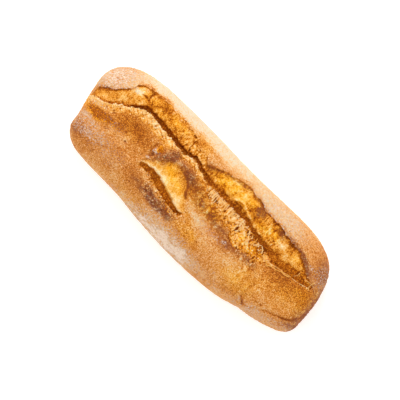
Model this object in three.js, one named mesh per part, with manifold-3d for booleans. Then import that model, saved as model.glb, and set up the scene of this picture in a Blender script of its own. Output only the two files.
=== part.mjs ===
// A ciabatta: one hand-shaped loaf, baked until its crust tore open along the top.
// Millimetres. +X runs along the loaf to its square end, +Y across it, +Z up.
// The origin is on the table, under the middle of the loaf.
import * as THREE from 'three';
import { ParametricGeometry } from 'three/addons/geometries/ParametricGeometry.js';
import { LoftGeometry } from 'three/addons/geometries/LoftGeometry.js';
import { mergeVertices } from 'three/addons/utils/BufferGeometryUtils.js';
import Module from 'manifold-3d';

// ---- Driving dimensions ------------------------------------------------------------

const LENGTH = 284;             // over the two ends
const WIDTH = 107;              // over the two long sides
const HEIGHT = 56;              // table to the top of the raised flap
const CROWN_HEIGHT = 53;        // table to the crust in the middle of the loaf
const END_DROP = 7;             // how much lower the crust is at the two ends
const END_DROP_POWER = 4;       // keeps the drop to the ends
const SIDE_DROP = 3.5;          // how much lower the crust is at the two long sides
const WAIST_HEIGHT = 19;        // where the loaf is widest
const FOOT_RADIUS = 13;         // rounding between the side and the flat underside
const SHOULDER_POWER = 2.2;     // 2 is a round shoulder, more is squarer
const FOOT_POWER = 2;

// The plan outline: x, y and the width over which the crust rolls down to the side there.
const OUTLINE = [
  [-142, 22, 30], [-136, 35.5, 28], [-122, 45.5, 26], [-100, 51, 24], [-60, 52.8, 23],
  [-30, 52.8, 23], [10, 51.8, 23], [50, 52.3, 23], [85, 53, 24], [107, 50, 24],
  [124, 42, 22], [134, 28, 18], [139.5, 10, 14], [142, -10, 14], [141.5, -24, 15],
  [136, -31, 17], [112, -40, 19], [90, -44, 24], [75, -48.5, 32], [50, -52, 36],
  [10, -53.3, 38], [-30, -51, 38], [-60, -48, 38], [-100, -47.2, 36], [-120, -43.5, 34],
  [-131, -34, 32], [-134, -20, 30], [-139, 0, 30],
];
const NORTH_WEST = 2;           // outline points at the four corners of the plan grid
const NORTH_EAST = 10;
const SOUTH_EAST = 15;
const SOUTH_WEST = 25;

const CELLS_ALONG = 58;
const CELLS_ACROSS = 26;
const EDGE_CROWDING = 0.8;      // 0 spaces the grid evenly, 1 crowds it at the edges
const OUTLINE_SAMPLES = 480;
const SHOULDER_BLEND = 8;       // smooths the shoulder width from one side to the next
const WELD = 1e-3;              // points closer than this are one point

// The crust is raised where the flap between the two splits curled up in the oven,
// and pinched in near the square end.
const FLAP = { x: -27, y: 15, halfLength: 24, halfWidth: 12, rise: HEIGHT - CROWN_HEIGHT };
const PINCH = { x: 89, y: -37, halfLength: 4, halfWidth: 8, rise: -3 };

// Hand-shaped unevenness of the whole crust.
const SWELL = { rise: 0.7, halfLength: 61, halfWidth: 37 };

// The two splits. Each line gives y at stations along x: the edge of the torn band, the
// sharp lip above the crack, and the far lip, where the torn slope comes up to the crust.
const LONG_SPLIT = {
  stations: 62,
  tear: [
    [-137, -4], [-120, 3], [-107, 10], [-90, 15.5], [-72, 14], [-57, 14.5], [-40, 15.5],
    [-30, 18], [-17, 14], [-1, 9.5], [17, 3.5], [35, 0.5], [44, -6], [53, -7.5],
    [62, -3], [73, -5.5], [80, 0.5], [92, 6], [107, 9.5], [125, 13],
  ],
  lip: [
    [-137, -1.5], [-121, 5], [-109, 13], [-102, 19.5], [-82, 25], [-66, 22], [-40, 19.5],
    [-31, 24], [-23, 22], [-17, 18.5], [17, 16.3], [39, 15.9], [57, 12.3], [76, 9.6],
    [88, 7], [98, 8.5], [116, 11.5], [125, 14],
  ],
  farLip: [
    [-137, 9], [-127, 15.5], [-118, 25], [-113, 35], [-106, 39.5], [-78, 43], [-55, 41],
    [-39, 37.5], [-34, 33], [-22, 32.5], [-17, 26.5], [-8, 32], [0, 35.5], [17, 39.8],
    [35, 39.4], [48, 36.6], [66, 36.6], [85, 32.5], [98, 30.8], [112, 23.6], [125, 18],
  ],
  depth: [
    [-137, 2], [-122, 6], [-104, 9], [-80, 13], [-45, 13], [-28, 11], [-18, 10], [0, 14],
    [45, 14], [80, 11], [105, 8], [125, 1.5],
  ],
  tearDrop: 1.2,                // step down from the crust to the torn band
  lipDrop: 3.0,                 // the sharp lip lies this much below the crust
  farDrop: 1.6,                 // thickness of the crust at the far lip
  slopeBulge: 0.16,             // how much the torn slope swells above a straight one
};
const SHORT_SPLIT = {
  stations: 24,
  tear: [
    [-62, -14.5], [-50, -18], [-42, -20.5], [-33, -24.5], [-23, -27], [-14, -28], [-3, -23],
  ],
  lip: [
    [-62, -13.5], [-50, -15.7], [-42, -17.5], [-33, -21], [-23, -23], [-14, -24], [-3, -20.5],
  ],
  farLip: [
    [-62, -11], [-57, -3], [-46, 3.5], [-39, 8.5], [-33, 9.6], [-24, 8.7], [-17, 3],
    [-12, -7], [-3, -17],
  ],
  depth: [[-62, 1.5], [-52, 8], [-30, 10], [-15, 8], [-3, 1.5]],
  tearDrop: 0.8,
  lipDrop: 1.8,
  farDrop: 0.9,
  slopeBulge: 0.22,
};
const CRACK_WIDTH = 2.2;        // from the sharp lip to the bottom of the crack
const CUTTER_HEADROOM = 12;     // how far a cutter stands above the crust
const SLOPE_STEPS = 4;          // facets up the torn slope

// Waviness of the torn edges: two waves, shifted from one edge to the next.
const RIPPLE = 0.4;
const RIPPLE_LENGTHS = [17, 11];
const RIPPLE_SHIFT = { tear: 0, lip: 2, farLip: 4 };

const CRUST_COLOUR = 0xc9853f;
const CRUST_ROUGHNESS = 0.75;

const { lerp, euclideanModulo } = THREE.MathUtils;

// ---- Plan ---------------------------------------------------------------------------

// The curve's z carries the shoulder width along with the outline.
const outline = new THREE.CatmullRomCurve3(
  OUTLINE.map(([x, y, shoulder]) => new THREE.Vector3(x, y, shoulder)), true, 'centripetal');
const samples = outline.getSpacedPoints(OUTLINE_SAMPLES);

// Where an outline point lies along the outline, as a fraction of its length.
function outlinePlace(index) {
  const distances = samples.map((sample) => sample.distanceTo(outline.points[index]));
  return distances.indexOf(Math.min(...distances)) / OUTLINE_SAMPLES;
}

// The outline between two of its points, as a function of 0 to 1.
function stretch(from, to, turns = 0) {
  const start = outlinePlace(from);
  const end = outlinePlace(to) + turns;
  return (t) => outline.getPointAt(euclideanModulo(lerp(start, end, t), 1));
}

const north = stretch(NORTH_WEST, NORTH_EAST);
const south = stretch(SOUTH_WEST, SOUTH_EAST);
const west = stretch(SOUTH_WEST, NORTH_WEST, 1);
const east = stretch(SOUTH_EAST, NORTH_EAST);

function crowd(t) {
  return lerp(t, 0.5 - 0.5 * Math.cos(Math.PI * t), EDGE_CROWDING);
}

// The plan grid fills the outline: a Coons patch of its four sides.
function planPoint(u, v) {
  const along = crowd(u);
  const across = crowd(v);
  const betweenSides = south(along).lerp(north(along), across);
  const betweenEnds = west(across).lerp(east(across), along);
  const lowCorners = south(0).lerp(south(1), along);
  const highCorners = north(0).lerp(north(1), along);
  return betweenSides.add(betweenEnds).sub(lowCorners.lerp(highCorners, across));
}

// Distance in from the outline, and the shoulder width of the sides nearest to a point.
function edgeOf(x, y) {
  const distances = samples.map((sample) => Math.hypot(sample.x - x, sample.y - y));
  const distance = Math.min(...distances);
  const weights = distances.map((each) => Math.exp((distance - each) / SHOULDER_BLEND));
  const total = weights.reduce((sum, weight) => sum + weight, 0);
  const weighted = weights.reduce((sum, weight, index) => sum + weight * samples[index].z, 0);
  return { distance, shoulder: weighted / total };
}

// ---- Heights ------------------------------------------------------------------------

// 0 at the edge, 1 from the given width inwards, round between.
function roll(distance, width, power) {
  const outside = Math.max(0, 1 - distance / width);
  return (1 - outside ** power) ** (1 / power);
}

function bump(x, y, shape) {
  const along = (x - shape.x) / shape.halfLength;
  const across = (y - shape.y) / shape.halfWidth;
  return shape.rise * Math.exp(-along * along - across * across);
}

function crustHeight(x, y, { distance, shoulder }) {
  const endDrop = END_DROP * Math.abs((2 * x) / LENGTH) ** END_DROP_POWER;
  const sideDrop = SIDE_DROP * ((2 * y) / WIDTH) ** 2;
  const swell = SWELL.rise * Math.sin((Math.PI * x) / SWELL.halfLength)
    * Math.cos((Math.PI * y) / SWELL.halfWidth);
  const crown = CROWN_HEIGHT - endDrop - sideDrop + swell;
  const top = crown + bump(x, y, FLAP) + bump(x, y, PINCH);
  return WAIST_HEIGHT + (top - WAIST_HEIGHT) * roll(distance, shoulder, SHOULDER_POWER);
}

function crustAt(x, y) {
  return crustHeight(x, y, edgeOf(x, y));
}

function footHeight(x, y, { distance }) {
  return WAIST_HEIGHT * (1 - roll(distance, FOOT_RADIUS, FOOT_POWER));
}

// ---- Solids -------------------------------------------------------------------------

const wasm = await Module();
wasm.setup();

function solidOf(...geometries) {
  const positions = geometries.flatMap((geometry) => (
    Array.from(geometry.toNonIndexed().attributes.position.array)));
  const joined = new THREE.BufferGeometry();
  joined.setAttribute('position', new THREE.Float32BufferAttribute(positions, 3));
  const merged = mergeVertices(joined, WELD);
  return new wasm.Manifold(new wasm.Mesh({
    numProp: 3,
    vertProperties: merged.attributes.position.array,
    triVerts: merged.index.array,
  }));
}

// Half of the loaf's skin, above or below its waist. Both halves meet in the outline.
function halfSkin(heightOf, faces) {
  const place = (u, v, target) => {
    const plan = planPoint(faces === 'up' ? u : 1 - u, v);
    const onOutline = u === 0 || u === 1 || v === 0 || v === 1;
    const edge = onOutline ? { distance: 0, shoulder: 1 } : edgeOf(plan.x, plan.y);
    target.set(plan.x, plan.y, heightOf(plan.x, plan.y, edge));
  };
  return new ParametricGeometry(place, CELLS_ALONG, CELLS_ACROSS);
}

// Reads a line of [x, value] stations at any x.
function readLine(line, x) {
  const next = line.findIndex(([station]) => station > x);
  if (next === -1) {
    return line.at(-1)[1];
  }
  const [x0, value0] = line[Math.max(next - 1, 0)];
  const [x1, value1] = line[next];
  return lerp(value0, value1, x1 > x0 ? (x - x0) / (x1 - x0) : 0);
}

// Reads one edge of a split, with its ripple.
function readEdge(split, edge, x) {
  const waves = RIPPLE_LENGTHS.map((length, index) => (
    RIPPLE * Math.sin((2 * Math.PI * x) / length + RIPPLE_SHIFT[edge] + index)));
  return waves.reduce((sum, wave) => sum + wave, readLine(split[edge], x));
}

// One cross-section of a split, over the torn band and the lip and down into the crack,
// then up the torn slope to the far lip.
function splitSection(split, x) {
  const depth = readLine(split.depth, x);
  const tearY = readEdge(split, 'tear', x);
  const lipY = readEdge(split, 'lip', x);
  const farY = readEdge(split, 'farLip', x);
  const crackY = Math.min(lipY + CRACK_WIDTH, (lipY + farY) / 2);
  const crackZ = crustAt(x, crackY) - depth;
  const farZ = crustAt(x, farY) - Math.min(split.farDrop, depth);
  const section = [
    new THREE.Vector3(x, tearY, crustAt(x, tearY) + CUTTER_HEADROOM),
    new THREE.Vector3(x, tearY, crustAt(x, tearY) - Math.min(split.tearDrop, depth)),
    new THREE.Vector3(x, lipY, crustAt(x, lipY) - Math.min(split.lipDrop, depth)),
  ];
  for (let step = 0; step <= SLOPE_STEPS; step += 1) {
    const t = step / SLOPE_STEPS;
    const bulge = split.slopeBulge * (farZ - crackZ) * Math.sin(Math.PI * t);
    const z = lerp(crackZ, farZ, t) + bulge;
    section.push(new THREE.Vector3(x, lerp(crackY, farY, t), z));
  }
  section.push(new THREE.Vector3(x, farY, crustAt(x, farY) + CUTTER_HEADROOM));
  return section;
}

function splitCutter(split) {
  const westEnd = split.lip[0][0];
  const eastEnd = split.lip.at(-1)[0];
  const sections = [];
  for (let index = 0; index <= split.stations; index += 1) {
    sections.push(splitSection(split, lerp(westEnd, eastEnd, index / split.stations)));
  }
  return solidOf(new LoftGeometry(sections, { capStart: true, capEnd: true }));
}

// Brings a geometry to the named size, standing on the table over the origin.
function fitToSize(geometry) {
  geometry.computeBoundingBox();
  const { min, max } = geometry.boundingBox;
  geometry.translate(-(min.x + max.x) / 2, -(min.y + max.y) / 2, -min.z);
  geometry.scale(LENGTH / (max.x - min.x), WIDTH / (max.y - min.y), HEIGHT / (max.z - min.z));
}

// ---- The loaf -----------------------------------------------------------------------

function buildLoaf() {
  const whole = solidOf(halfSkin(crustHeight, 'up'), halfSkin(footHeight, 'down'));
  const torn = whole.subtract(splitCutter(LONG_SPLIT)).subtract(splitCutter(SHORT_SPLIT));
  const mesh = torn.getMesh();
  const geometry = new THREE.BufferGeometry();
  geometry.setAttribute('position', new THREE.BufferAttribute(mesh.vertProperties, mesh.numProp));
  geometry.setIndex(new THREE.BufferAttribute(mesh.triVerts, 1));
  fitToSize(geometry);
  const crust = new THREE.MeshStandardMaterial({
    color: CRUST_COLOUR,
    roughness: CRUST_ROUGHNESS,
    metalness: 0,
  });
  const loaf = new THREE.Mesh(geometry, crust);
  loaf.name = 'loaf';
  return loaf;
}

const group = new THREE.Group();
group.add(buildLoaf());

export default group;
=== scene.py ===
"""A ciabatta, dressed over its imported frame.

One loaf, baked until its crust tore open along the top. The bread is cut out of a block of
small cells, so that lips can overhang and the torn crumb can be full of holes. Strands,
crumbs and flour lie on it. Lengths are millimetres until a mesh is handed to Blender.
"""
import logging
import math
from collections.abc import Callable
from dataclasses import dataclass, field, fields
from enum import Enum

import bpy
import numpy as np
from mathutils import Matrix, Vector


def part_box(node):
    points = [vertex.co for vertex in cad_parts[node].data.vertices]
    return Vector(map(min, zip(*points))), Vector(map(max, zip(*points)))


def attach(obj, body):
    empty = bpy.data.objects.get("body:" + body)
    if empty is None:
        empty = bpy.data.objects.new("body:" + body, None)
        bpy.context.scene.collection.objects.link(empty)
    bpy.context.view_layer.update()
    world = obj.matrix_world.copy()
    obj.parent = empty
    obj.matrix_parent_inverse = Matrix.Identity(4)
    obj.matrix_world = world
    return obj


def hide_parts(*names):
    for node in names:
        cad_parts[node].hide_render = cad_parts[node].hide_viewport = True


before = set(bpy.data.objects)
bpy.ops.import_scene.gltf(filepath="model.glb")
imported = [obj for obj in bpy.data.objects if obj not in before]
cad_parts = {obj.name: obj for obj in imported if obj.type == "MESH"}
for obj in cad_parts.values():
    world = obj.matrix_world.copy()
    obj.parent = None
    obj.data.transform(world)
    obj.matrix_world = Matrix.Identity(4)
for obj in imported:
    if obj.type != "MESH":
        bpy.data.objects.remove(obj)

Array = np.ndarray
Piece = bpy.types.Object
Socket = bpy.types.NodeSocket
MM = 0.001
LOG = logging.getLogger("ciabatta")


def smooth_step(low: float, high: float, value: Array) -> Array:
    """Rises smoothly from 0 at low to 1 at high.

    Args:
        low: Where the rise starts.
        high: Where the rise ends.
        value: The values to map.

    Returns:
        Numbers from 0 to 1, as many as in value.
    """
    t = np.clip((value - low) / (high - low), 0.0, 1.0)
    return t * t * (3.0 - 2.0 * t)


def mix(low: Array, high: Array, share: Array) -> Array:
    """The value a share of the way from low to high."""
    return low + (high - low) * share


class Noise:
    """Smooth random values over space, the same on every run."""

    TABLE = 256

    def __init__(self, seed: int) -> None:
        """Fills the tables.

        Args:
            seed: Chooses the random values.
        """
        rng = np.random.default_rng(seed)
        self._order = rng.permutation(self.TABLE)
        self._values = rng.uniform(-1.0, 1.0, self.TABLE).astype(np.float32)

    def at(self, size: tuple[float, ...], *axes: Array) -> Array:
        """One layer of noise.

        Args:
            size: The size of one grain along each axis, in millimetres.
            *axes: Two or three coordinates of the points, in millimetres.

        Returns:
            A number from -1 to 1 for each point.
        """
        scaled = [np.asarray(axis, np.float32) / grain for axis, grain in zip(axes, size)]
        floors = [np.floor(axis) for axis in scaled]
        fades = []
        for axis, floor in zip(scaled, floors):
            part = axis - floor
            fades.append(part * part * part * (part * (part * 6.0 - 15.0) + 10.0))
        corners = [floor.astype(np.int32) for floor in floors]
        total = np.zeros(np.broadcast(*axes).shape, np.float32)
        for corner in range(2 ** len(axes)):
            weight = np.float32(1.0)
            cell = np.int32(0)
            for axis, (base, fade) in enumerate(zip(corners, fades)):
                far = corner >> axis & 1
                weight = weight * (fade if far else 1.0 - fade)
                cell = self._order[(cell + base + far) & (self.TABLE - 1)]
            total += weight * self._values[cell]
        return total

    def _stacked(self, size: tuple[float, ...], count: int, shift: float,
                 axes: tuple[Array, ...], lumps: bool) -> Array:
        """Adds up layers, each half the size and half the strength of the last.

        Args:
            size: The size of the largest grain along each axis.
            count: How many layers.
            shift: How far each layer is moved from the last.
            axes: The coordinates of the points.
            lumps: Whether the values are folded into round lumps.

        Returns:
            A number for each point.
        """
        total, strength = np.float32(0.0), 0.0
        for layer in range(count):
            scale = 0.5 ** layer
            grains = tuple(grain * scale for grain in size)
            values = self.at(grains, *(axis + shift * layer for axis in axes))
            total = total + scale * (3.0 * np.abs(values) - 1.0 if lumps else values)
            strength += scale
        return total / strength

    def layers(self, size: tuple[float, ...], count: int, *axes: Array) -> Array:
        """Several layers of noise, each half the size and half the strength of the last."""
        return self._stacked(size, count, 17.3, axes, False)

    def puffs(self, size: tuple[float, ...], count: int, *axes: Array) -> Array:
        """Round lumps with sharp gaps between them, turned so that they don't line up.

        Args:
            size: The size of the largest lump along each axis.
            count: How many layers.
            *axes: Two or three coordinates of the points.

        Returns:
            A number from about -1 in the gaps to 1 on the lumps, for each point.
        """
        x, y, *rest = axes
        turned = (0.83 * x - 0.56 * y, 0.56 * x + 0.83 * y, *rest)
        return self._stacked(size, count, 41.7, turned, True)


@dataclass(frozen=True)
class Line:
    """A value given at stations along the loaf."""

    stations: tuple[tuple[float, float], ...]

    def at(self, x: Array) -> Array:
        """The value at each x, straight between stations."""
        places, values = zip(*self.stations)
        return np.interp(x, places, values)

    @property
    def start(self) -> float:
        """The first station's x."""
        return self.stations[0][0]

    @property
    def end(self) -> float:
        """The last station's x."""
        return self.stations[-1][0]


@dataclass(frozen=True)
class Patch:
    """A soft oval on the plan of the loaf; a higher edge makes its rim sharper."""

    x: float
    y: float
    half_length: float
    half_width: float
    amount: float
    turn: float = 0.0
    edge: float = 1.0

    def at(self, x: Array, y: Array) -> Array:
        """How much of the patch there is at each point.

        Args:
            x: Places along the loaf.
            y: Places across the loaf.

        Returns:
            The patch's amount in its middle, fading to 0 outside it.
        """
        turn = math.radians(self.turn)
        along = (x - self.x) * math.cos(turn) + (y - self.y) * math.sin(turn)
        across = (y - self.y) * math.cos(turn) - (x - self.x) * math.sin(turn)
        radius = (along / self.half_length) ** 2 + (across / self.half_width) ** 2
        return self.amount * np.exp(-radius ** self.edge)


@dataclass(frozen=True)
class Trail:
    """An amount along a line on the plan: a groove's depth, or how strong a mark is."""

    points: tuple[tuple[float, float], ...]
    amount: float
    half_width: float

    def at(self, x: Array, y: Array) -> Array:
        """How much of the trail there is at each point.

        Args:
            x: Places along the loaf.
            y: Places across the loaf.

        Returns:
            The trail's amount on its line, fading to 0 on both sides.
        """
        nearest = np.full(np.broadcast(x, y).shape, np.inf)
        for (x0, y0), (x1, y1) in zip(self.points, self.points[1:]):
            run, rise = x1 - x0, y1 - y0
            share = ((x - x0) * run + (y - y0) * rise) / (run * run + rise * rise)
            share = np.clip(share, 0.0, 1.0)
            nearest = np.minimum(nearest, np.hypot(x - x0 - share * run, y - y0 - share * rise))
        return self.amount * np.exp(-(nearest / self.half_width) ** 2)


Marks = tuple[Patch | Trail, ...]


def marks(*rows: tuple) -> Marks:
    """Makes a patch of each row of numbers, and a trail of each row that starts with points."""
    return tuple(Trail(*row) if isinstance(row[0], tuple) else Patch(*row) for row in rows)


def sum_marks(found: Marks, x: Array, y: Array) -> Array:
    """All the patches and trails added up at each point."""
    return sum((mark.at(x, y) for mark in found), np.zeros(np.broadcast(x, y).shape))


def closed_curve(corners: Array, per_span: int) -> Array:
    """A smooth closed curve through some points: a centripetal Catmull-Rom curve.

    Args:
        corners: The points that it passes through, one in each row.
        per_span: How many points to give from each corner to the next.

    Returns:
        The points of the curve, one in each row.
    """
    count = len(corners)
    share = (np.arange(per_span) / per_span)[:, None]
    spans = []
    for index in range(count):
        before, start, end, after = (corners[(index + step) % count] for step in (-1, 0, 1, 2))
        gap0, gap1, gap2 = (
            math.sqrt(np.linalg.norm(b - a))
            for a, b in ((before, start), (start, end), (end, after))
        )
        leave = (start - before) / gap0 - (end - before) / (gap0 + gap1) + (end - start) / gap1
        arrive = (end - start) / gap1 - (after - start) / (gap1 + gap2) + (after - end) / gap2
        leave, arrive = leave * gap1, arrive * gap1
        cubic = 2.0 * start - 2.0 * end + leave + arrive
        square = 3.0 * end - 3.0 * start - 2.0 * leave - arrive
        spans.append(start + leave * share + square * share ** 2 + cubic * share ** 3)
    return np.concatenate(spans)


@dataclass(frozen=True)
class LoafForm:
    """The loaf's whole, untorn shape: its outline and how high its crust stands.

    Each outline corner gives x, y and the width over which the crust rolls down to the side.
    """

    length: float = 284.0
    width: float = 107.0
    height: float = 56.0
    crown: float = 53.0
    end_drop: float = 7.0
    end_drop_power: float = 4.0
    side_drop: float = 3.5
    waist: float = 19.0
    foot_radius: float = 13.0
    shoulder_power: float = 2.2
    foot_power: float = 2.0
    shoulder_blend: float = 8.0
    outline: tuple[tuple[float, float, float], ...] = (
        (-142, 22, 30), (-136, 35.5, 28), (-122, 45.5, 26), (-100, 51, 24), (-60, 52.8, 23),
        (-30, 52.8, 23), (10, 51.8, 23), (50, 52.3, 23), (85, 53, 24), (107, 50, 24),
        (124, 42, 22), (134, 28, 18), (139.5, 10, 14), (142, -10, 14), (141.5, -24, 15),
        (136, -31, 17), (112, -40, 19), (90, -44, 24), (75, -48.5, 32), (50, -52, 36),
        (10, -53.3, 38), (-30, -51, 38), (-60, -48, 38), (-100, -47.2, 36), (-120, -43.5, 34),
        (-131, -34, 32), (-134, -20, 30), (-139, 0, 30),
    )
    bumps: Marks = marks(
        (-27, 15, 24, 12, 3), (89, -37, 4, 8, -2.5), (-50, 12, 7, 5, 1.6, 35),
        (-50, 14.1, 1.8, 1.6, -2.6), (-59.9, -0.3, 1.4, 1.9, -3.6), (105.3, -27.4, 1.3, 1.3, -1.3),
        (-59.1, 4.6, 2, 1.5, 1.8), (-60.7, -4.9, 1.7, 1.3, 1.5), (-49.5, 6.5, 12, 5, 0.9, 52),
        (-22, 7, 5, 7, 1.2), (-8, -8, 9, 6, 0.9, -40), (22, -9, 16, 5, -0.9, -8), (55, -16, 20, 6, 0.8),
        (112, 2, 22, 12, 0.9), (-95, 2, 20, 12, 0.7), (-128, -22, 10, 12, -0.8),
        (-28, -31, 20, 4, -0.7, -10), (-85, -9.4, 1.1, 0.9, -1.2), (-106, -13.5, 1, 0.9, -1.2),
        (-129.3, -9.4, 1.3, 1, -1.2), (-111.3, 2.6, 1.8, 1.6, -1.6), (-43, 16.5, 3.5, 4, 1.2),
        (-100, -22, 40, 6, 0.5),
    )
    creases: Marks = marks(
        (((114, -27), (121, -24.5), (128, -22), (134, -18), (137.5, -12), (139, -3), (138, 6),
          (136.5, 14)), 1.7, 1.15),
        (((88, -46), (89.5, -37), (93, -38), (100, -35.5), (107, -31.5), (113, -27.4)), 0.9, 1.3),
        (((87.5, -36), (86.5, -28), (87.5, -18)), 0.7, 1.6),
        (((86.5, -33.5), (89.5, -36), (92.5, -38.8)), 2.2, 1),
        (((62, -41.5), (68, -42), (74, -41)), 0.7, 0.8),
        (((-52.6, 3.2), (-46.3, 8.7), (-39, 10.6), (-31, 12.8), (-23.7, 11.4), (-18.2, 6),
          (-12.8, -4)), -2.2, 2.4), (((-62.6, 8.7), (-62.8, 1), (-61, -4)), 1.6, 1.3),
        (((-1, -16), (6, -20), (14, -23.5), (20, -28)), 0.6, 1.2),
        (((-103, -15.5), (-88, -14.6), (-75, -15.2), (-63, -15)), 0.35, 0.7),
    )

    def samples(self, per_span: int = 30) -> Array:
        """Points all round the outline, with the shoulder width in the last column."""
        return closed_curve(np.array(self.outline, float), per_span)

    def crown_height(self, x: Array, y: Array, noise: Noise) -> Array:
        """How high the crust would be without its round shoulders.

        Args:
            x: Places along the loaf.
            y: Places across the loaf.
            noise: Gives the unevenness of a hand-shaped loaf.

        Returns:
            The height above the table.
        """
        ends = self.end_drop * np.abs(2.0 * x / self.length) ** self.end_drop_power
        sides = self.side_drop * (2.0 * y / self.width) ** 2
        uneven = 0.9 * noise.layers((46.0, 30.0), 3, x, y)
        pressed = sum_marks(self.creases, x, y)
        return self.crown - ends - sides + uneven + sum_marks(self.bumps, x, y) - pressed


class Plan:
    """Maps of the loaf seen from above, on a square grid."""

    def __init__(self, form: LoafForm, pitch: float, noise: Noise) -> None:
        """Measures the outline and the crust at every grid point.

        Args:
            form: The untorn loaf.
            pitch: The grid's spacing.
            noise: Gives the crust's unevenness.
        """
        margin = 3.0 * pitch
        samples = form.samples()
        low, high = samples[:, :2].min(0) - margin, samples[:, :2].max(0) + margin
        self.form = form
        self.pitch = pitch
        self.xs = np.arange(low[0], high[0] + pitch, pitch)
        self.ys = np.arange(low[1], high[1] + pitch, pitch)
        self.x, self.y = np.meshgrid(self.xs, self.ys, indexing="ij")
        self.inset, self.shoulder = self._edges(samples)
        self.crown = form.crown_height(self.x, self.y, noise)

    def _edges(self, samples: Array) -> tuple[Array, Array]:
        """The distance in from the outline and the shoulder width, at every grid point.

        Args:
            samples: Points all round the outline.

        Returns:
            The two maps.
        """
        along = np.roll(samples[:, :2], -1, 0) - np.roll(samples[:, :2], 1, 0)
        along /= np.linalg.norm(along, axis=1)[:, None]
        inward = np.stack([along[:, 1], -along[:, 0]], 1)
        inset = np.empty(self.x.shape)
        shoulder = np.empty(self.x.shape)
        for row, x in enumerate(self.xs):
            offset_x = x - samples[None, :, 0]
            offset_y = self.ys[:, None] - samples[None, :, 1]
            distance = np.hypot(offset_x, offset_y)
            nearest = distance.argmin(1)
            pick = np.arange(len(self.ys)), nearest
            inset[row] = (
                np.broadcast_to(offset_x, distance.shape)[pick] * inward[nearest, 0]
                + offset_y[pick] * inward[nearest, 1])
            weight = np.exp((distance[pick][:, None] - distance) / self.form.shoulder_blend)
            shoulder[row] = (weight * samples[None, :, 2]).sum(1) / weight.sum(1)
        return inset, shoulder

    def crust_height(self) -> Array:
        """The height of the untorn crust at every grid point.

        Returns:
            A map of heights above the table.
        """
        power = self.form.shoulder_power
        outside = np.clip(1.0 - self.inset / self.shoulder, 0.0, 1.0)
        roll = (1.0 - outside ** power) ** (1.0 / power)
        return self.form.waist + (self.crown - self.form.waist) * roll

    def read(self, values: Array, x: Array, y: Array) -> Array:
        """Reads a map between its grid points.

        Args:
            values: The map.
            x: Places along the loaf.
            y: Places across the loaf.

        Returns:
            The map's value at each place.
        """
        column = np.clip((x - self.xs[0]) / self.pitch, 0, len(self.xs) - 1.001)
        row = np.clip((y - self.ys[0]) / self.pitch, 0, len(self.ys) - 1.001)
        i, j = column.astype(int), row.astype(int)
        u, v = column - i, row - j
        near = mix(values[i, j], values[i, j + 1], v)
        far = mix(values[i + 1, j], values[i + 1, j + 1], v)
        return mix(near, far, u)


class Texture(float, Enum):
    """How the dough tore; a value between two of these blends them."""

    CRUMBLY = 0.0
    STRINGY = 1.0
    SILKY = 2.0

    def share(self, texture: Array) -> Array:
        """How much of this texture there is where the texture has a given value."""
        return np.clip(1.0 - np.abs(texture - self.value), 0.0, 1.0)


@dataclass(frozen=True)
class Hole:
    """An egg-shaped hole in the crumb, its middle a depth below the torn surface."""

    x: float
    y: float
    radii: tuple[float, float, float]
    depth: float = 0.0


@dataclass
class SplitPlaces:
    """Where some points lie in a split.

    Attributes:
        band: 0 at the edge of the torn band, 1 at the sharp lip.
        slope: 0 in the crack, 1 at the far lip.
        before_band: How far outside the torn band's edge, negative inside.
        past_lip: How far past the sharp lip, towards the far lip.
        past_crack: How far past the crack's far wall.
        past_far: How far outside the far lip, negative inside.
        past_ends: How far past the nearer end, negative between the ends.
        along: Where each point is along the split's lines.
    """

    band: Array
    slope: Array
    before_band: Array
    past_lip: Array
    past_crack: Array
    past_far: Array
    past_ends: Array
    along: Array


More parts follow.
